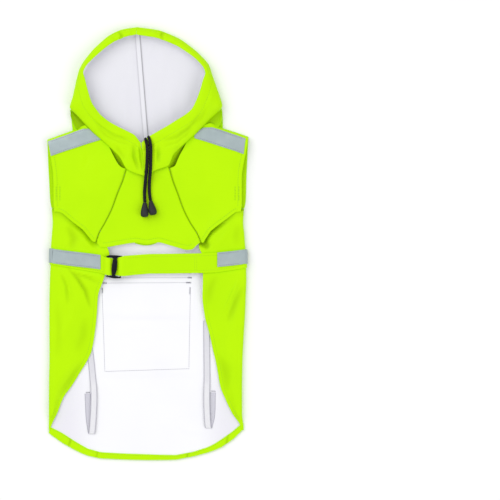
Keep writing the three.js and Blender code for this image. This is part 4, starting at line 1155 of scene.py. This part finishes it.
# Creases of the hood's right half inside, mirrored for the left
HOOD_CREASES = [
    ([(30, 140), (34, 180), (30, 230)], 8, 0.9, 0.1),
    ([(60, 176), (54, 214), (56, 250)], 9, 0.7, 0.0),
    ([(18, 230), (22, 262), (14, 286)], 6, 0.5, 0.0),
    ([(8, 112), (11, 130), (10, 160)], 3.0, 1.6, 0.2),
    ([(21, 113), (25, 130), (30, 152)], 2.6, 1.3, 0.2),
    ([(34, 116), (41, 136), (50, 166)], 3.6, 1.9, 0.3),
    ([(48, 121), (57, 140), (64, 158)], 2.8, 1.2, 0.0),
    ([(62, 127), (72, 146), (82, 170)], 3.4, 1.5, 0.2),
    ([(80, 138), (88, 152), (93, 168)], 2.8, 0.9, 0.0),
]


def hood_grid(name):
    """Half of the hood's back, from the neck to the crown, between its side and the centre seam."""
    side = SIDES[name]
    outer_curve, face_curve, below_curve = rim_lines(name)

    def inset(row):
        outer, below = outer_curve(row), below_curve(row)
        inward, _ = across_rim(outer, face_curve(row))
        return outer[:, :2] + inward * (below[:, :1] + 2.5 * SEAM_GAP)

    count = 60
    corner = inset(np.linspace(SURFACE_ROW, CORNER_ROW, 12)).tolist()
    side_edge = smooth_line([*hood_side[name], *corner], count, 1)
    crown = inset(np.linspace(CORNER_ROW, CROWN_ROW, count))
    crown[-1] = (CROWN_X + side * SEAM_GAP / 2, crown[-1][1])
    neck_x = np.linspace(abs(hood_side[name][0][0]), 0, count) * side
    neck_x[-1] = side * SEAM_GAP / 2
    neck_edge = np.stack([neck_x, neck_line(neck_x) + 0.5], axis=1)
    centre = np.linspace(neck_edge[-1], crown[-1], count)
    side_edge[0], side_edge[-1] = neck_edge[0], crown[0]
    plan = patch(neck_edge, crown, side_edge, centre)
    x, y = plan[..., 0], plan[..., 1]
    calm = smoothstep(np.linspace(0, 1, count)[None], 0, 0.1) * smoothstep(np.abs(x - hood_seam(y)), 4, 14)
    mirrored = [([(side * a, b) for a, b in path], *form) for path, *form in HOOD_CREASES]
    lie = 0.5 + swell(x, y, 21, 0.4, 0.3) + creases(x, y, mirrored)
    return np.stack([x, y, np.maximum(lie, 0) * calm], axis=-1)


def side_column(x, side, angle, low, high, shares):
    """Points across the belt round the side fold, at an angle."""
    y = lerp(low(x), high(x), shares)
    centre = outer_edge[side](y) - side * FOLD_RADIUS
    return np.stack([centre + side * FOLD_RADIUS * np.cos(angle), y,
                     np.full(len(shares), FOLD_RADIUS + FOLD_RADIUS * np.sin(angle))], axis=1)


def belt_tape_low(x):
    """Lower edge of the reflective tape on the belt."""
    return np.maximum(belt_high(x) - TAPE_WIDTH, belt_low(x) + 2)


def belt_slack(x, y):
    """Small waves of the belt between the wraps, with a dip along each stitched edge."""
    free = smoothstep(x, -34, -10) * (1 - smoothstep(x, 70, 96))
    share = (y - belt_low(x)) / (belt_high(x) - belt_low(x))
    edge = np.minimum(share, 1 - share) * BELT_WIDTH
    rolled = 0.15 * ridge(edge, 1.6, 1.2) - 0.12 * ridge(edge, HEM_WIDTH["belt"], 0.6)
    wave = 0.5 * np.sin((x + 0.5 * y) / 19) * free + 0.3 * free
    return wave + rolled * (1 - within(x, -62, -30, 4))


def belt_grid(side, low, high, inner, shares):
    """Rows of the belt from the side fold to the place where it ends."""
    start = -137 if side < 0 else 138
    angles = np.radians(np.linspace(-18, 86, 12))
    turned = [side_column(start, side, a, low, high, shares) for a in angles]
    xs = np.linspace(start - side * 4.6, inner, max(int(abs(inner - start) / 1.6), 8))
    level = []
    for x in xs:
        y = lerp(low(x), high(x), shares)
        z = FOLD_RISE + belt_above(x) + belt_slack(x, y)
        level.append(np.stack([np.full(len(shares), x), y, z], axis=1))
    return np.array([*turned, *level])


def strap_grid(rows):
    """A leg strap: level across, along a line through its points."""
    line = catmull(rows, 0.5)(np.linspace(0, len(rows) - 1, 14 * (len(rows) - 1) + 1))
    x = line[:, :1] + np.linspace(-0.5, 0.5, 7) * LEG_STRAP_WIDTH
    return np.stack([x, np.broadcast_to(line[:, 1:2], x.shape), np.broadcast_to(line[:, 2:], x.shape)], axis=-1)


TUBE_SIDES = 18


def tube(path, radius):
    """A round tube along a path, closed at both ends, with its map round and along it."""
    path = np.asarray(path, float)
    tangents = np.gradient(path, axis=0)
    tangents /= np.linalg.norm(tangents, axis=1, keepdims=True)
    side = np.cross(tangents[0], (1.0, 0.2, 0.1))
    steps = travelled(path)
    points, coords, faces = [], [], []
    for i, (centre, tangent) in enumerate(zip(path, tangents)):
        side = side - tangent * np.dot(side, tangent)
        side /= np.linalg.norm(side)
        up = np.cross(tangent, side)
        for k in range(TUBE_SIDES + 1):
            angle = 2 * math.pi * k / TUBE_SIDES
            points.append(centre + radius * (side * math.cos(angle) + up * math.sin(angle)))
            coords.append((radius * angle, steps[i]))
    ring = TUBE_SIDES + 1
    for i in range(len(path) - 1):
        for k in range(TUBE_SIDES):
            a = i * ring + k
            faces.append((a, a + 1, a + ring + 1, a + ring))
    faces.append(tuple(reversed(range(TUBE_SIDES))))
    faces.append(tuple((len(path) - 1) * ring + k for k in range(TUBE_SIDES)))
    return np.array(points), faces, np.array(coords)


def cut_slit(back):
    """The leash slit, cut through the back panel behind the neck."""
    bpy.ops.object.select_all(action="DESELECT")
    bpy.ops.mesh.primitive_cube_add(size=1, location=(0, (SLIT["low"] + SLIT["high"]) / 2 * MM, 0),
                                    scale=(SLIT["width"] * MM, (SLIT["high"] - SLIT["low"]) * MM, 0.012))
    blade = bpy.context.object
    bpy.context.view_layer.objects.active = back
    cut = back.modifiers.new("slit", "BOOLEAN")
    cut.object, cut.operation, cut.solver = blade, "DIFFERENCE", "EXACT"
    bpy.ops.object.modifier_apply(modifier=cut.name)
    bpy.data.objects.remove(blade)


# Slider bars: the axis each runs along, and its sections with place x and y, breadth across the bar and top
SLIDER_BARS = {
    "upper": (0, [
        (-57.4, -17.3, 0.9, 12.5), (-55.2, -17.3, 2.3, 12.9), (-51, -17.3, 3.3, 13.2),
        (-46.4, -17.5, 3.8, 13.3), (-43, -17.5, 3.4, 13.2), (-39.6, -17.4, 2.2, 12.9),
        (-36, -17.4, 1.6, 12.7), (-34.3, -17.4, 0.8, 12.5)]),
    "lower": (0, [
        (-58.5, -44.9, 0.9, 12.5), (-56, -45.1, 1.8, 12.7), (-52, -45.6, 2.6, 12.9),
        (-48, -46.1, 3.8, 13.2), (-44.6, -46.4, 3.6, 13.2), (-41, -46.8, 2.4, 12.9),
        (-38.6, -47.1, 1.8, 12.7), (-37, -47.2, 0.9, 12.5)]),
    "middle": (1, [
        (-45.2, -17.8, 7.4, 13.1), (-45.3, -20.6, 5.4, 13.2), (-45.6, -24, 6.5, 13.6),
        (-46, -30, 7.2, 13.8), (-46.5, -36, 7, 13.8), (-47, -40.4, 5.8, 13.5),
        (-47.3, -43.2, 4.2, 13.2), (-47.1, -45.8, 6.4, 13.1)]),
    "left": (1, [(-55.8, -17.4, 2.2, 12.7), (-55.8, -31, 2.4, 12.9), (-55.8, -45, 1.8, 12.7)]),
    "right": (1, [(-36.4, -17.5, 1.8, 12.7), (-36.6, -31, 2.4, 12.9), (-38.2, -46.8, 1.8, 12.7)]),
}
SECTION_DEPTH = 0.1


def moulded_bar(axis, sections):
    """A bar drawn out of a thin block, section by section, with its edges rounded."""
    bottom = FRONT_TOP + 0.3
    centre = lambda row: Vector((row[0], row[1], (bottom + row[3]) / 2)) * MM

    def size(row):
        depth, breadth, height = SECTION_DEPTH * MM, row[2] * MM, (row[3] - bottom) * MM
        return (depth, breadth, height) if axis == 0 else (breadth, depth, height)

    bpy.ops.object.select_all(action="DESELECT")
    bpy.ops.mesh.primitive_cube_add(size=1, location=centre(sections[0]), scale=size(sections[0]))
    bpy.ops.object.transform_apply(location=True, rotation=True, scale=True)
    bar = bpy.context.object
    ahead = 1 if axis == 0 else -1
    end_face = Vector((0, 0, 0))
    end_face[axis] = ahead * SECTION_DEPTH / 2 * MM
    for part in (*bar.data.vertices, *bar.data.edges):
        part.select = False
    for face in bar.data.polygons:
        face.select = face.normal[axis] * ahead > 0.9
    bpy.context.tool_settings.mesh_select_mode = (False, False, True)
    bpy.ops.object.mode_set(mode="EDIT")
    for before, after in zip(sections[:-1], sections[1:]):
        bpy.ops.mesh.extrude_region_move(TRANSFORM_OT_translate={"value": centre(after) - centre(before)})
        change = [a / b for a, b in zip(size(after), size(before))]
        bpy.ops.transform.resize(value=change, center_override=centre(after) + end_face)
    bpy.ops.mesh.select_all(action="SELECT")
    bpy.ops.mesh.normals_make_consistent(inside=False)
    bpy.ops.object.mode_set(mode="OBJECT")
    bevel = bar.modifiers.new("edges", "BEVEL")
    bevel.width, bevel.segments = 0.35 * MM, 3
    bevel.limit_method, bevel.angle_limit = "ANGLE", math.radians(50)
    bpy.ops.object.modifier_apply(modifier=bevel.name)
    return bar


def slider_piece():
    """The three-bar slider, its middle bar over the belt and its side bars under it."""
    bars = [moulded_bar(*bar) for bar in SLIDER_BARS.values()]
    bpy.ops.object.select_all(action="DESELECT")
    for bar in bars:
        bar.select_set(True)
    bpy.context.view_layer.objects.active = bars[0]
    bpy.ops.object.join()
    piece = bpy.context.object
    piece.name = piece.data.name = "slider"
    bpy.ops.object.shade_smooth_by_angle(angle=SHARP_ANGLE)
    piece.data.materials.append(finishes()["slider_plastic"])
    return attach(piece, "root")


class RaincoatSizes(bpy.types.PropertyGroup):
    cord_diameter: FloatProperty(
        name="Cord diameter", description="Thickness of the hood's drawstring", unit="LENGTH", default=0.0045,
        min=0.003, max=0.006)
    view_height: FloatProperty(
        name="Camera height", description="Height of the camera over the coat", unit="LENGTH", default=2.927,
        min=1.0, max=6.0)


class RaincoatColours(bpy.types.PropertyGroup):
    neon: FloatVectorProperty(
        name="Shell", description="Colour of the outer cloth", subtype="COLOR",
        default=(0.49, 0.87, 0.001), min=0, max=1)
    lining: FloatVectorProperty(
        name="Lining", description="Colour of the cloth inside", subtype="COLOR",
        default=(0.90, 0.90, 0.93), min=0, max=1)
    tape: FloatVectorProperty(
        name="Tape", description="Colour of the reflective tape", subtype="COLOR",
        default=(0.39, 0.46, 0.475), min=0, max=1)


class StageOperator(bpy.types.Operator):
    """Camera straight above, the floor and soft studio light"""

    bl_idname = "raincoat.stage"
    bl_label = "Stage and camera"

    def execute(self, context):
        scene = context.scene
        camera = bpy.data.cameras.new("overhead_camera")
        camera.lens, camera.sensor_width = 150, 36
        eye = bpy.data.objects.new("overhead_camera", camera)
        eye.location = (*PICTURE_MIDDLE, scene.raincoat_sizes.view_height)
        scene.collection.objects.link(eye)
        scene.camera = eye

        bpy.ops.object.select_all(action="DESELECT")
        bpy.ops.mesh.primitive_plane_add(size=8, location=(0, 0, -0.0006))
        floor = context.object
        floor.name = "studio_floor"
        paper = Finish("pale_paper", roughness=0.9)
        grain = paper.noise(paper.place(), 3.0, 3)
        paper.colour(paper.blend(grain, (0.93, 0.93, 0.935), (0.95, 0.95, 0.95)))
        floor.data.materials.append(paper.material)

        lamps = (
            ("key_panel", (-1.2, 1.05, 2.05), 2.4, 31.0), ("fill_panel", (1.7, -1.1, 2.0), 1.8, 20.0))
        for name, place, size, power in lamps:
            lamp = bpy.data.lights.new(name, "AREA")
            lamp.shape, lamp.size, lamp.energy = "SQUARE", size, power
            panel = bpy.data.objects.new(name, lamp)
            panel.location = place
            panel.rotation_mode = "QUATERNION"
            panel.rotation_quaternion = Vector(place).to_track_quat("Z", "Y")
            scene.collection.objects.link(panel)

        world = bpy.data.worlds.new("studio_air")
        world.use_nodes = True
        background = world.node_tree.nodes["Background"]
        background.inputs["Color"].default_value = (1.0, 1.0, 1.0, 1.0)
        background.inputs["Strength"].default_value = 0.67
        scene.world = world
        scene.view_settings.view_transform = "Standard"
        scene.view_settings.look = "None"
        return {"FINISHED"}


class DrawstringOperator(bpy.types.Operator):
    """Both free ends of the hood's drawstring, with their bell-shaped cord ends"""

    bl_idname = "raincoat.drawstring"
    bl_label = "Drawstring"

    def execute(self, context):
        diameter = context.scene.raincoat_sizes.cord_diameter
        for name, rows in cord_paths.items():
            rows = [(x, y, FRONT_TOP + above) for x, y, above in rows]
            path = catmull(rows, 0.5)(np.linspace(0, len(rows) - 1, 150))
            points, faces, coords = tube(path, diameter / 2 / MM)
            slots = np.zeros(len(faces), int)
            piece = finished_mesh(f"cord_{name}", points, faces, slots, coords, ["black_braid"])
            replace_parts(piece, f"drawstring_{name}")
            end = frame["nodes"][f"cord_end_{name}"]
            path[0] * MM
            path * MM
            end.data.materials.clear()
            end.data.materials.append(finishes()["black_plastic"])
        return {"FINISHED"}


def flat_grid(left, right, low, high, columns, rows):
    """A level grid on the surface under the coat."""
    x, y = np.linspace(left, right, columns)[None], np.linspace(low, high, rows)[:, None]
    return np.stack(np.broadcast_arrays(x, y, 0.0), axis=-1)


HEM_PUCKERS = [
    ([(-116, -283), (-111, -267)], 1.6, 1.2), ([(-112, -286), (-106, -268)], 1.4, -0.8),
    ([(-77, -302), (-74, -288)], 1.6, 0.8), ([(-73, -303), (-70, -289)], 1.2, -0.6),
    ([(54, -304), (57, -290)], 1.4, -0.7), ([(60, -303), (63, -290)], 2.0, 1.2),
    ([(104, -289), (108, -271)], 2.0, 1.3), ([(109, -286), (113, -267)], 1.6, -0.7),
    ([(8, -305), (10, -294)], 2.2, 0.3),
]


class BackOperator(bpy.types.Operator):
    """Back panel with its pocket, flap and tape underneath, and the hem facing"""

    bl_idname = "raincoat.back"
    bl_label = "Back panel"

    def execute(self, context):
        grid = back_grid()
        x, y = grid[..., 0], grid[..., 1]
        armhole = (np.abs(x) > 119) & (y > 40)
        back = cloth("back_shell", grid, facing=-1, marks=armhole)
        cut_slit(back)
        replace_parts(back, "back_panel")
        declare(back, grid)

        under = {"rests_on": ["studio_floor"], "facing": -1}
        left, right = POCKET["left"], POCKET["right"]
        pocket = flat_grid(left + 1, right - 1, POCKET["low"], POCKET["high"], 40, 60)
        pocket[..., 2] = pocket_rise(pocket[..., 0], pocket[..., 1])
        sewn("pocket_patch_shell", "pocket_patch", pocket, **under)
        flap = flat_grid(left, right, POCKET["flap_low"] + SEAM_GAP, POCKET["flap_high"], 40, 20)
        sewn("pocket_flap_shell", "pocket_flap", flap, **under)
        band = flat_grid(*(BACK_TAPE[edge] for edge in ("left", "right", "low", "high")), 60, 10)
        sewn("back_tape_band", "back_tape", band, **under, **REFLECTIVE)

        columns = np.linspace(-138.6, 134.2, 150)
        shares = np.linspace(0, 1, 9)[:, None]
        y = lerp(hem_outer(columns) + 0.8, hem_inner(columns), shares)
        x = np.broadcast_to(columns, y.shape)
        pucker = creases(x, y, HEM_PUCKERS)
        facing = np.stack([x, y, LAYER + CLOTH + 0.35 * np.sin(np.pi * shares) + pucker], axis=-1)
        # Painted shade in the troughs of the puckers
        sewn("hem_facing_strip", "hem_facing", facing, ["back_shell"],
             hollows=np.clip(-pucker / 0.8, 0, 1) * 0.5)
        return {"FINISHED"}


class WrapOperator(bpy.types.Operator):
    """Side wraps that fold over the belly"""

    bl_idname = "raincoat.wraps"
    bl_label = "Side wraps"

    def execute(self, context):
        for name, side in SIDES.items():
            grid = wrap_grid(side)
            x, y = grid[..., 0], grid[..., 1]
            # Painted shade in the creases' troughs, and painted shadow under the front panel's lower edge
            troughs = np.clip(-creases(x, y, WRAP_CREASES[side]) / 2.4, 0, 1) * 0.42
            sewn(f"wrap_{name}_shell", f"side_wrap_{name}", grid, ["back_shell"], "folded", facing=-side,
                 hollows=troughs + 0.3 * under_front(x, y))
        return {"FINISHED"}


class FrontOperator(bpy.types.Operator):
    """Front panels, chest and shoulder tapes"""

    bl_idname = "raincoat.front"
    bl_label = "Front and chest"

    def execute(self, context):
        # The fronts and the chest get painted shade along the chest seams
        for name, side in SIDES.items():
            grid = front_grid(name)
            sewn(f"front_{name}_shell", f"front_{name}", grid, ["back_shell"], facing=-side,
                 hollows=seam_hollows(grid))
            sewn(f"shoulder_tape_{name}_band", f"shoulder_tape_{name}", tape_grid(side),
                 [f"front_{name}_shell"], facing=-side, low=SEAM_GAP, high=SEAM_GAP + 0.9, **REFLECTIVE)
        grid = chest_grid()
        sewn("chest_shell", "chest_panel", grid, ["back_shell"], hollows=seam_hollows(grid))
        x = np.linspace(-18, 12.6, 60)[None]
        share = np.linspace(0, 1, 10)[:, None]
        middle = 1 - ((x + 2.7) / 15.3) ** 2
        y = lerp(1.4 - 3.2 * middle, 8 + 0 * x, share)
        z = FRONT_TOP - LAYER + 0.35 * np.sin(x * 1.7) * np.exp(-share * 3) - 1.6
        grid = np.stack([np.broadcast_to(x, y.shape), y, z], axis=-1)
        sewn("chest_elastic_shell", "chest_elastic", grid, ["chest_shell"], "gathered")
        return {"FINISHED"}


class HoodOperator(bpy.types.Operator):
    """Hood rims with the drawstring channel, the hood's back and its seam tape"""

    bl_idname = "raincoat.hood"
    bl_label = "Hood"

    def execute(self, context):
        corner_rows = ((RIM_ROWS > 4) & (RIM_ROWS < 8))[:, None]
        for name, side in SIDES.items():
            grid = rim_grid(name)
            turned_under = corner_rows & (np.arange(grid.shape[1]) > len(RIM_SHARES))
            # Painted shade in the rim's neck seam, wedge, gusset and troughs
            sewn(f"hood_rim_{name}_shell", f"hood_rim_{name}", grid, [f"front_{name}_shell"], facing=side,
                 hollows=rim_hollows(name, grid), marks=turned_under)
            grid = hood_grid(name)
            corner = (np.arange(grid.shape[1]) < 11) & (grid[..., 1] < 199)
            # The hood's inside shows the lining's white darkened as painted shade
            sewn(f"hood_{name}_shell", f"hood_{name}", grid, ["studio_floor"], facing=side,
                 inside="hood_lining", marks=corner)
        y = np.linspace(124, 294, 90)[:, None]
        half = 3.5
        offset = np.linspace(-half, half, 9)[None]
        x = hood_seam(y) + offset
        z = LAYER + CLOTH + 0.3 * (1 - (offset / half) ** 2)
        grid = np.stack([x, np.broadcast_to(y, x.shape), np.broadcast_to(z, x.shape)], axis=-1)
        sewn("hood_seam_tape_strip", "hood_seam_tape", grid, ["hood_left_shell", "hood_right_shell"],
             outside="seam_sealing_tape", slot="lining")
        return {"FINISHED"}


class BeltOperator(bpy.types.Operator):
    """Belt, its tapes, the slider and the leg straps"""

    bl_idname = "raincoat.belt"
    bl_label = "Belt and straps"

    def execute(self, context):
        shares = np.linspace(0, 1, 22)
        for name, wrap, side, inner in (("belt_band_left", "left", -1, -46.2),
                                        ("belt_strap", "right", 1, -45.8)):
            sewn(f"{name}_shell", name, belt_grid(side, belt_low, belt_high, inner, shares),
                 [f"wrap_{wrap}_shell"], facing=side, low=SEAM_GAP, high=LAYER)
        tape_high = lambda x: belt_high(x) - 0.4
        shares = np.linspace(0, 1, 16)
        for name, band, side, inner in (("left", "belt_band_left", -1, -66), ("right", "belt_strap", 1, 98)):
            grid = belt_grid(side, belt_tape_low, tape_high, inner, shares)
            sewn(f"belt_tape_{name}_band", f"belt_tape_{name}", grid, [f"{band}_shell"], facing=side,
                 low=LAYER + SEAM_GAP, high=2 * LAYER, **REFLECTIVE)
        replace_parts(slider_piece(), "belt_buckle")
        for name, rows in leg_straps.items():
            sewn(f"leg_strap_{name}_band", f"leg_strap_{name}", strap_grid(rows), ["back_shell"], "folded",
                 facing=-1, low=-0.45, high=0.45, outside="ribbed_elastic", inside="ribbed_elastic",
                 slot="elastic")
        return {"FINISHED"}


def lining_stitches(piece):
    """The pocket's outline as it shows inside, and the bar tacks of the pocket and the leg straps."""
    back = piece["back_shell"]
    outline_seen = Stitching()
    for path in ([(-58.1, -47.6), (61.6, -47.4)], [(-62.6, -54.8), (60.5, -54.2)],
                 [(-63.9, -68), (-60.2, -178.9), (57.7, -175), (59.9, -62)]):
        outline_seen.run(back, path)
    outline_seen.done("pocket_outline_stitches", "grey_thread")
    dark = Stitching()
    for start, end, width, bars in (
            ((-62.8, -54.8), (-58, -54.8), 2.6, 9), ((56.8, -47.4), (61.4, -47.4), 2.6, 9),
            ((54.6, -54.2), (60.4, -54.2), 2.6, 9), ((-63.6, -62), (-63.4, -68), 2.2, 7),
            ((59.4, -61), (59, -70), 1.6, 9)):
        dark.tack(back, start, end, width, bars)
    dark.done("lining_bar_tacks", "slate_thread")
    pale = Stitching()
    for start, end in (((-86.6, -208.6), (-81.6, -208.2)), ((90, -206.6), (94.6, -206.9))):
        pale.tack(back, start, end, 2.2, 6)
    pale.done("strap_tacks", "grey_thread")


def shell_stitches(piece):
    """Rows of stitches on wraps, fronts, rims, chest, belt and hem."""
    shell = Stitching()
    for name, side in SIDES.items():
        for low, high in ((-246, -50), (-6, 4)):
            y = np.arange(low, high, 3.0)
            edge = np.stack([inner_edge[side](y), y], axis=1)
            shell.run(piece[f"wrap_{name}_shell"], beside(edge, -side * HEM_WIDTH["wrap"]), **FINE_THREAD)
        front = piece[f"front_{name}_shell"]
        lower = smooth_line(front_edges[name]["lower"], 60)
        shell.run(front, beside(lower, -side * HEM_WIDTH["front"])[4:-3])
        shell.run(front, beside(smooth_line(front_edges[name]["armhole"], 60), side * 5.0)[4:48])
        outer_curve, face_curve, _ = rim_lines(name)
        rows = np.linspace(0.25, CROWN_ROW, 240)
        opening = face_curve(rows)
        inward, width = across_rim(outer_curve(rows), opening)
        channel_seam = opening[:, :2] - inward * channel_width(width)
        shell.run(piece[f"hood_rim_{name}_shell"], channel_seam, **FINE_THREAD)
    for x in (-128, -122.6, 122.6, 128):
        shell.tack(piece["front_left_shell" if x < 0 else "front_right_shell"], (x, 62), (x, 80), 1.6, 12)
    shell.run(piece["chest_shell"], beside(smooth_line(chest_hem, 90), HEM_WIDTH["chest"])[6:-6])
    strap = piece["belt_strap_shell"]
    x = np.linspace(-28, 128, 80)
    for edge in (belt_low(x) + HEM_WIDTH["belt"], belt_high(x) - HEM_WIDTH["belt"]):
        shell.run(strap, np.stack([x, edge], axis=1), **FINE_THREAD)
    x = np.linspace(-128, -62, 40)
    shell.run(piece["belt_band_left_shell"], np.stack([x, belt_low(x) + 2.2], axis=1))
    for x in (66, 69):
        shell.run(strap, [(x, -37), (x, -17)], **FINE_THREAD)
    x = np.linspace(-134, 129, 160)
    shell.run(piece["hem_facing_strip"], np.stack([x, hem_inner(x) - 1.8], axis=1))
    shell.done("shell_stitches", "neon_thread")


def tape_stitches(piece):
    """Rows of stitches along both edges of the tapes on shoulders and belt."""
    trim = Stitching()
    for name, side in SIDES.items():
        grid = tape_grid(side)
        shoulder = piece[f"shoulder_tape_{name}_band"]
        trim.run(shoulder, beside(grid[0, 1:-1, :2], side * -1.4))
        trim.run(shoulder, beside(grid[-1, 2:-1, :2], side * 1.4))
        x = np.linspace(-128, -67.5, 30) if side < 0 else np.linspace(99.5, 129, 16)
        for edge in (belt_high(x) - 1.9, belt_tape_low(x) + 1.5):
            trim.run(piece[f"belt_tape_{name}_band"], np.stack([x, edge], axis=1))
    trim.done("tape_stitches", "grey_thread")


def underside_stitches(piece):
    """Stitches of the pocket, its flap, the slit and the tape, all under the coat."""
    pocket, flap, band = (piece[name] for name in ("pocket_patch_shell", "pocket_flap_shell", "back_tape_band"))
    under = Stitching()
    for inset in (2.0, 7.0):
        left, right = POCKET["left"] + inset, POCKET["right"] - inset
        low, top = POCKET["low"] + inset, POCKET["flap_low"] - 3
        under.run(pocket, [(left, top), (left, low), (right, low), (right, top)], **UNDER_THREAD)
        row = POCKET["flap_high"] - inset
        under.run(flap, [(POCKET["left"] + 2, row), (POCKET["right"] - 2, row)], **UNDER_THREAD)
    left, right = POCKET["left"] + 2, POCKET["right"] - 2
    low, top = POCKET["flap_low"] + 2.2, POCKET["flap_high"] - 9
    under.run(flap, [(left, top), (left, low), (right, low), (right, top)], **UNDER_THREAD)
    side, low, top = 3.6, SLIT["low"] - 3, SLIT["high"] + 2
    under.run(piece["back_shell"], [(-side, low), (side, low), (side, top), (-side, top), (-side, low)],
              **UNDER_THREAD)
    under.done("underside_stitches", "neon_thread")
    trim = Stitching()
    for row in (BACK_TAPE["low"] + 1.6, BACK_TAPE["high"] - 1.6):
        trim.run(band, [(BACK_TAPE["left"] + 2, row), (BACK_TAPE["right"] - 2, row)], **UNDER_THREAD)
    trim.done("back_tape_stitches", "grey_thread")


class StitchOperator(bpy.types.Operator):
    """Rows of stitches and bar tacks along hems, seams, tapes, pocket and belt"""

    bl_idname = "raincoat.stitches"
    bl_label = "Stitches"

    def execute(self, context):
        for stitches in (lining_stitches, shell_stitches, tape_stitches, underside_stitches):
            stitches(bpy.data.objects)
        return {"FINISHED"}


class RaincoatPanel(bpy.types.Panel):
    """Lists the steps of the raincoat"""

    bl_idname = "VIEW3D_PT_raincoat"
    bl_label = "Dog raincoat"
    bl_space_type = "VIEW_3D"
    bl_region_type = "UI"
    bl_category = "Raincoat"

    def draw(self, context):
        column = self.layout.column()
        column.prop(context.scene.raincoat_sizes, "cord_diameter")
        column.prop(context.scene.raincoat_sizes, "view_height")
        for colour in ("neon", "lining", "tape"):
            column.prop(context.scene.raincoat_colours, colour)
        for step in STEPS:
            column.operator(step.bl_idname)


STEPS = (StageOperator, DrawstringOperator, BackOperator, WrapOperator, FrontOperator, HoodOperator,
         BeltOperator, StitchOperator)
CLASSES = (RaincoatSizes, RaincoatColours, *STEPS, RaincoatPanel)


def register():
    for each in CLASSES:
        bpy.utils.register_class(each)
    bpy.types.Scene.raincoat_sizes = PointerProperty(type=RaincoatSizes)
    bpy.types.Scene.raincoat_colours = PointerProperty(type=RaincoatColours)


def unregister():
    del bpy.types.Scene.raincoat_colours
    del bpy.types.Scene.raincoat_sizes
    for each in reversed(CLASSES):
        bpy.utils.unregister_class(each)


def main():
    register()
    for step in STEPS:
        family, name = step.bl_idname.split(".")
        getattr(getattr(bpy.ops, family), name)()


if __name__ == "__main__":
    main()
